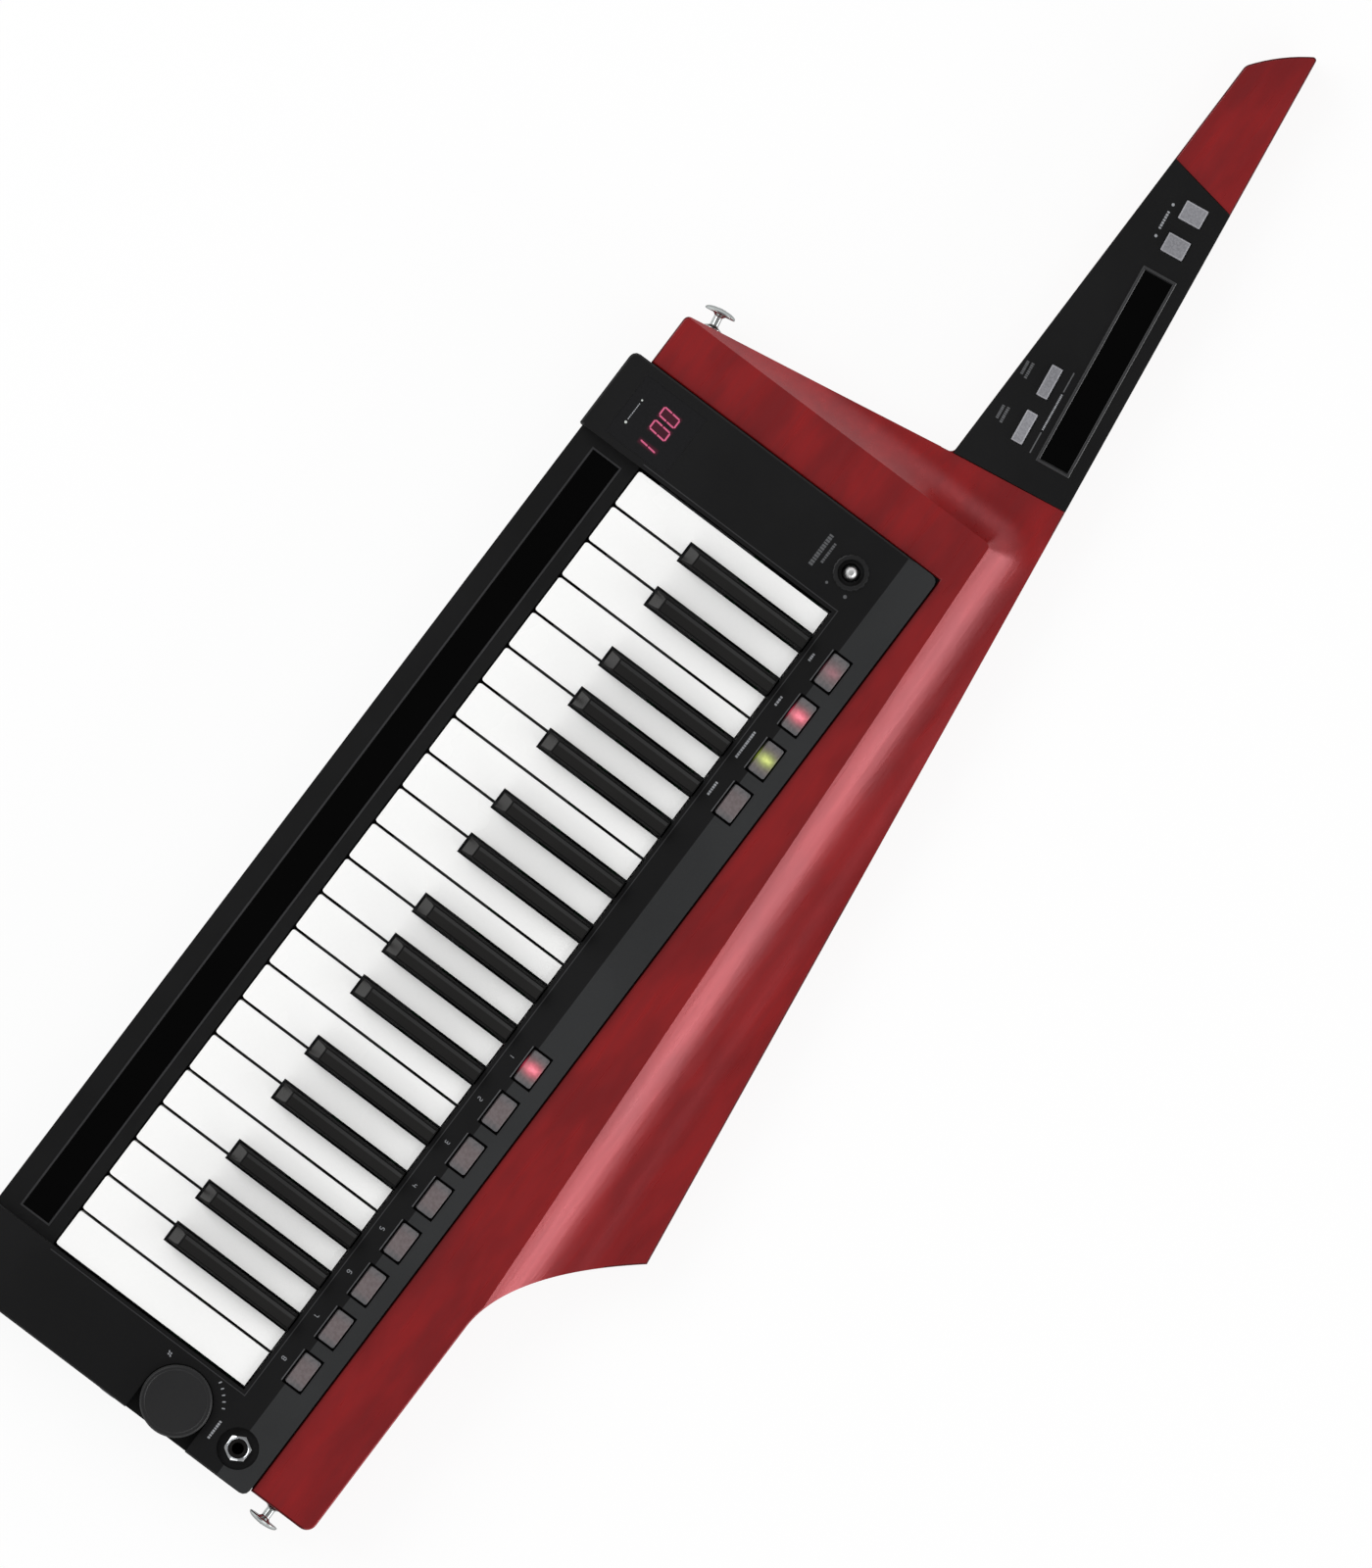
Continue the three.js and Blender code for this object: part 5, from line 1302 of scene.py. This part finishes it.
RIBBON_LENGTH, RIBBON_WIDTH, RIBBON_FROM_HEAD, RIBBON_BELOW_EDGE = 99.0, 14.2, 48.5, 15.2
ribbon_middle = on_neck(RIBBON_FROM_HEAD + RIBBON_LENGTH / 2, RIBBON_BELOW_EDGE)
ribbon_size = (RIBBON_LENGTH / math.cos(NECK_RISE), RIBBON_WIDTH)
lip = [(1.55, NECK_TOP - 0.1), (1.55, LIP_TOP - 0.15), (1.3, LIP_TOP + 0.05), (0.45, LIP_TOP + 0.05)]
lip += [(0.2, LIP_TOP - 0.15), (0.2, NECK_TOP - 0.6)]
# The lip is in the lighter rim plastic: a painted highlight on its bevel, which has its own shape as well.
ring_frame("ribbon_lip", ribbon_middle, ribbon_size, NECK_RISE, lip, RIM_PAINTED_HIGHLIGHT)

BRACKET_LINE = 28.0
neck_prints = word(*on_neck(25.8, 26.0), 9.6, 1.2, 7, NECK_RISE)
neck_prints += [disc(*on_neck(distance, 25.8), 0.75, 12) for distance in (17.7, 33.9)]
neck_prints += word(*on_neck(128.0, BRACKET_LINE), 19.0, 0.9, 22, NECK_RISE)
brackets = []
for start, end in ((107.3, 117.6), (138.4, 149.2)):
    brackets.append(bar(*on_neck((start + end) / 2, BRACKET_LINE), end - start, 0.6, NECK_RISE))
for distance in (119.0, 142.1):
    for below, length in ((46.9, 8.2), (49.4, 7.0)):
        brackets += word(*on_neck(distance, below), length, 1.4, 8, NECK_RISE)
marks("neck_print", neck_prints, neck_levels, WHITE_PRINT)
marks("neck_brackets", brackets, neck_levels, FAINT_PRINT)


# Floor, lamps, world and camera


def seen(shader):
    """1 for the rays that show a background: the camera's, and those of gloss and glass."""
    path = shader.add("LightPath").outputs
    shown = shader.calc("MAXIMUM", path["Is Camera Ray"], path["Is Glossy Ray"])
    return shader.calc("MAXIMUM", shown, path["Is Transmission Ray"])


FLOOR_REACH, FLOOR_LEVEL = 30, -0.0006
BACKDROP_SHARE = 0.9
floor_corners = [(sx * FLOOR_REACH, sy * FLOOR_REACH, FLOOR_LEVEL) for sx, sy in CORNERS]
floor_mesh = mesh_from("floor", floor_corners, [(0, 1, 2, 3)])
floor = bpy.data.objects.new("floor", floor_mesh)
scene.collection.objects.link(floor)
paper, shader, surface = new_material("floor_paper", (1, 1, 1, 1), 1.0, Specular_IOR_Level=0.0)
mottle = shader.noise(shader.where(), 3.0)
shader.join(surface, Base_Color=shader.mix(mottle, (0.94, 0.94, 0.94, 1), (0.96, 0.96, 0.96, 1)))
white = shader.add("Emission", Color=(1, 1, 1, 1), Strength=1.0)
backed = shader.add("MixShader")
shown = shader.times(seen(shader), BACKDROP_SHARE)
for socket, value in zip(backed.inputs, (shown, surface.outputs["BSDF"], white.outputs["Emission"])):
    shader.feed(socket, value)
shader.join(paper.node_tree.nodes["Material Output"], Surface=backed.outputs[0])
floor_mesh.materials.append(paper)


def softbox(name, azimuth, elevation, distance, size, level):
    """A soft lamp that looks at the object from a compass angle and a height, with an even brightness."""
    data = bpy.data.lights.new(name, "AREA")
    data.shape = "RECTANGLE"
    data.size, data.size_y = size
    data.energy = level * size[0] * size[1] * math.pi
    lamp = bpy.data.objects.new(name, data)
    scene.collection.objects.link(lamp)
    height = math.radians(elevation)
    away = Vector((*(heading(math.radians(azimuth)) * math.cos(height)), math.sin(height)))
    lamp.location = away * distance
    lamp.rotation_mode = "QUATERNION"
    lamp.rotation_quaternion = (-away).to_track_quat("-Z", "Y")
    return lamp


# Each lamp's azimuth, elevation, distance, size and level
LAMPS = {
    "rear_softbox": (90, 17, 2.6, (2.8, 0.8), 4.4),
    "bevel_softbox": (88, 66, 2.6, (2.4, 0.5), 0.6),
    "front_softbox": (262, 48, 2.8, (2.6, 1.6), 2.8),
    "neck_softbox": (178, 10, 2.6, (1.6, 0.8), 1.0),
    "butt_softbox": (15, 32, 2.6, (1.2, 1.0), 1.3),
}
lamps = {name: softbox(name, *settings) for name, settings in LAMPS.items()}
lamps["neck_softbox"].visible_glossy = False

# The world lights the object evenly, and shows as a white horizon below a dark ceiling
SKY_LIGHT, CEILING = 0.52, 0.22
HORIZON_START, HORIZON_END = 0.15, 0.6
world = bpy.data.worlds.new("studio")
world.use_nodes = True
sky = Shader(world.node_tree)
up_share = sky.add("SeparateXYZ", Vector=sky.add("TexCoord").outputs["Generated"]).outputs["Z"]
backdrop = sky.scaled(sky.step(up_share, HORIZON_START, HORIZON_END), CEILING - 1.0, 1.0)
shown = seen(sky)
plain = sky.times(sky.calc("SUBTRACT", 1.0, shown), SKY_LIGHT)
level = sky.scaled(shown, backdrop, plain)
sky.join(world.node_tree.nodes["Background"], Color=(1, 1, 1, 1), Strength=level)
scene.world = world

scene.view_settings.view_transform = "Standard"

# The camera looks straight down, turned as the photograph is
VIEW_CENTRE = place(102.94, 104.25, 45)
VIEW_RIGHT = Vector((-0.6031, 0.7977, 0)).normalized()
VIEW_HEIGHT = 0.7237
camera_data = bpy.data.cameras.new("camera")
camera_data.lens = 400
camera_data.sensor_width = 36
camera_data.clip_start, camera_data.clip_end = 0.1, 100
camera = bpy.data.objects.new("camera", camera_data)
scene.collection.objects.link(camera)
distance = VIEW_HEIGHT * camera_data.lens / camera_data.sensor_width
back = Vector((0, 0, 1))
turn = Matrix((VIEW_RIGHT, back.cross(VIEW_RIGHT), back)).transposed()
camera.matrix_world = Matrix.Translation(VIEW_CENTRE + back * distance) @ turn.to_4x4()
scene.camera = camera
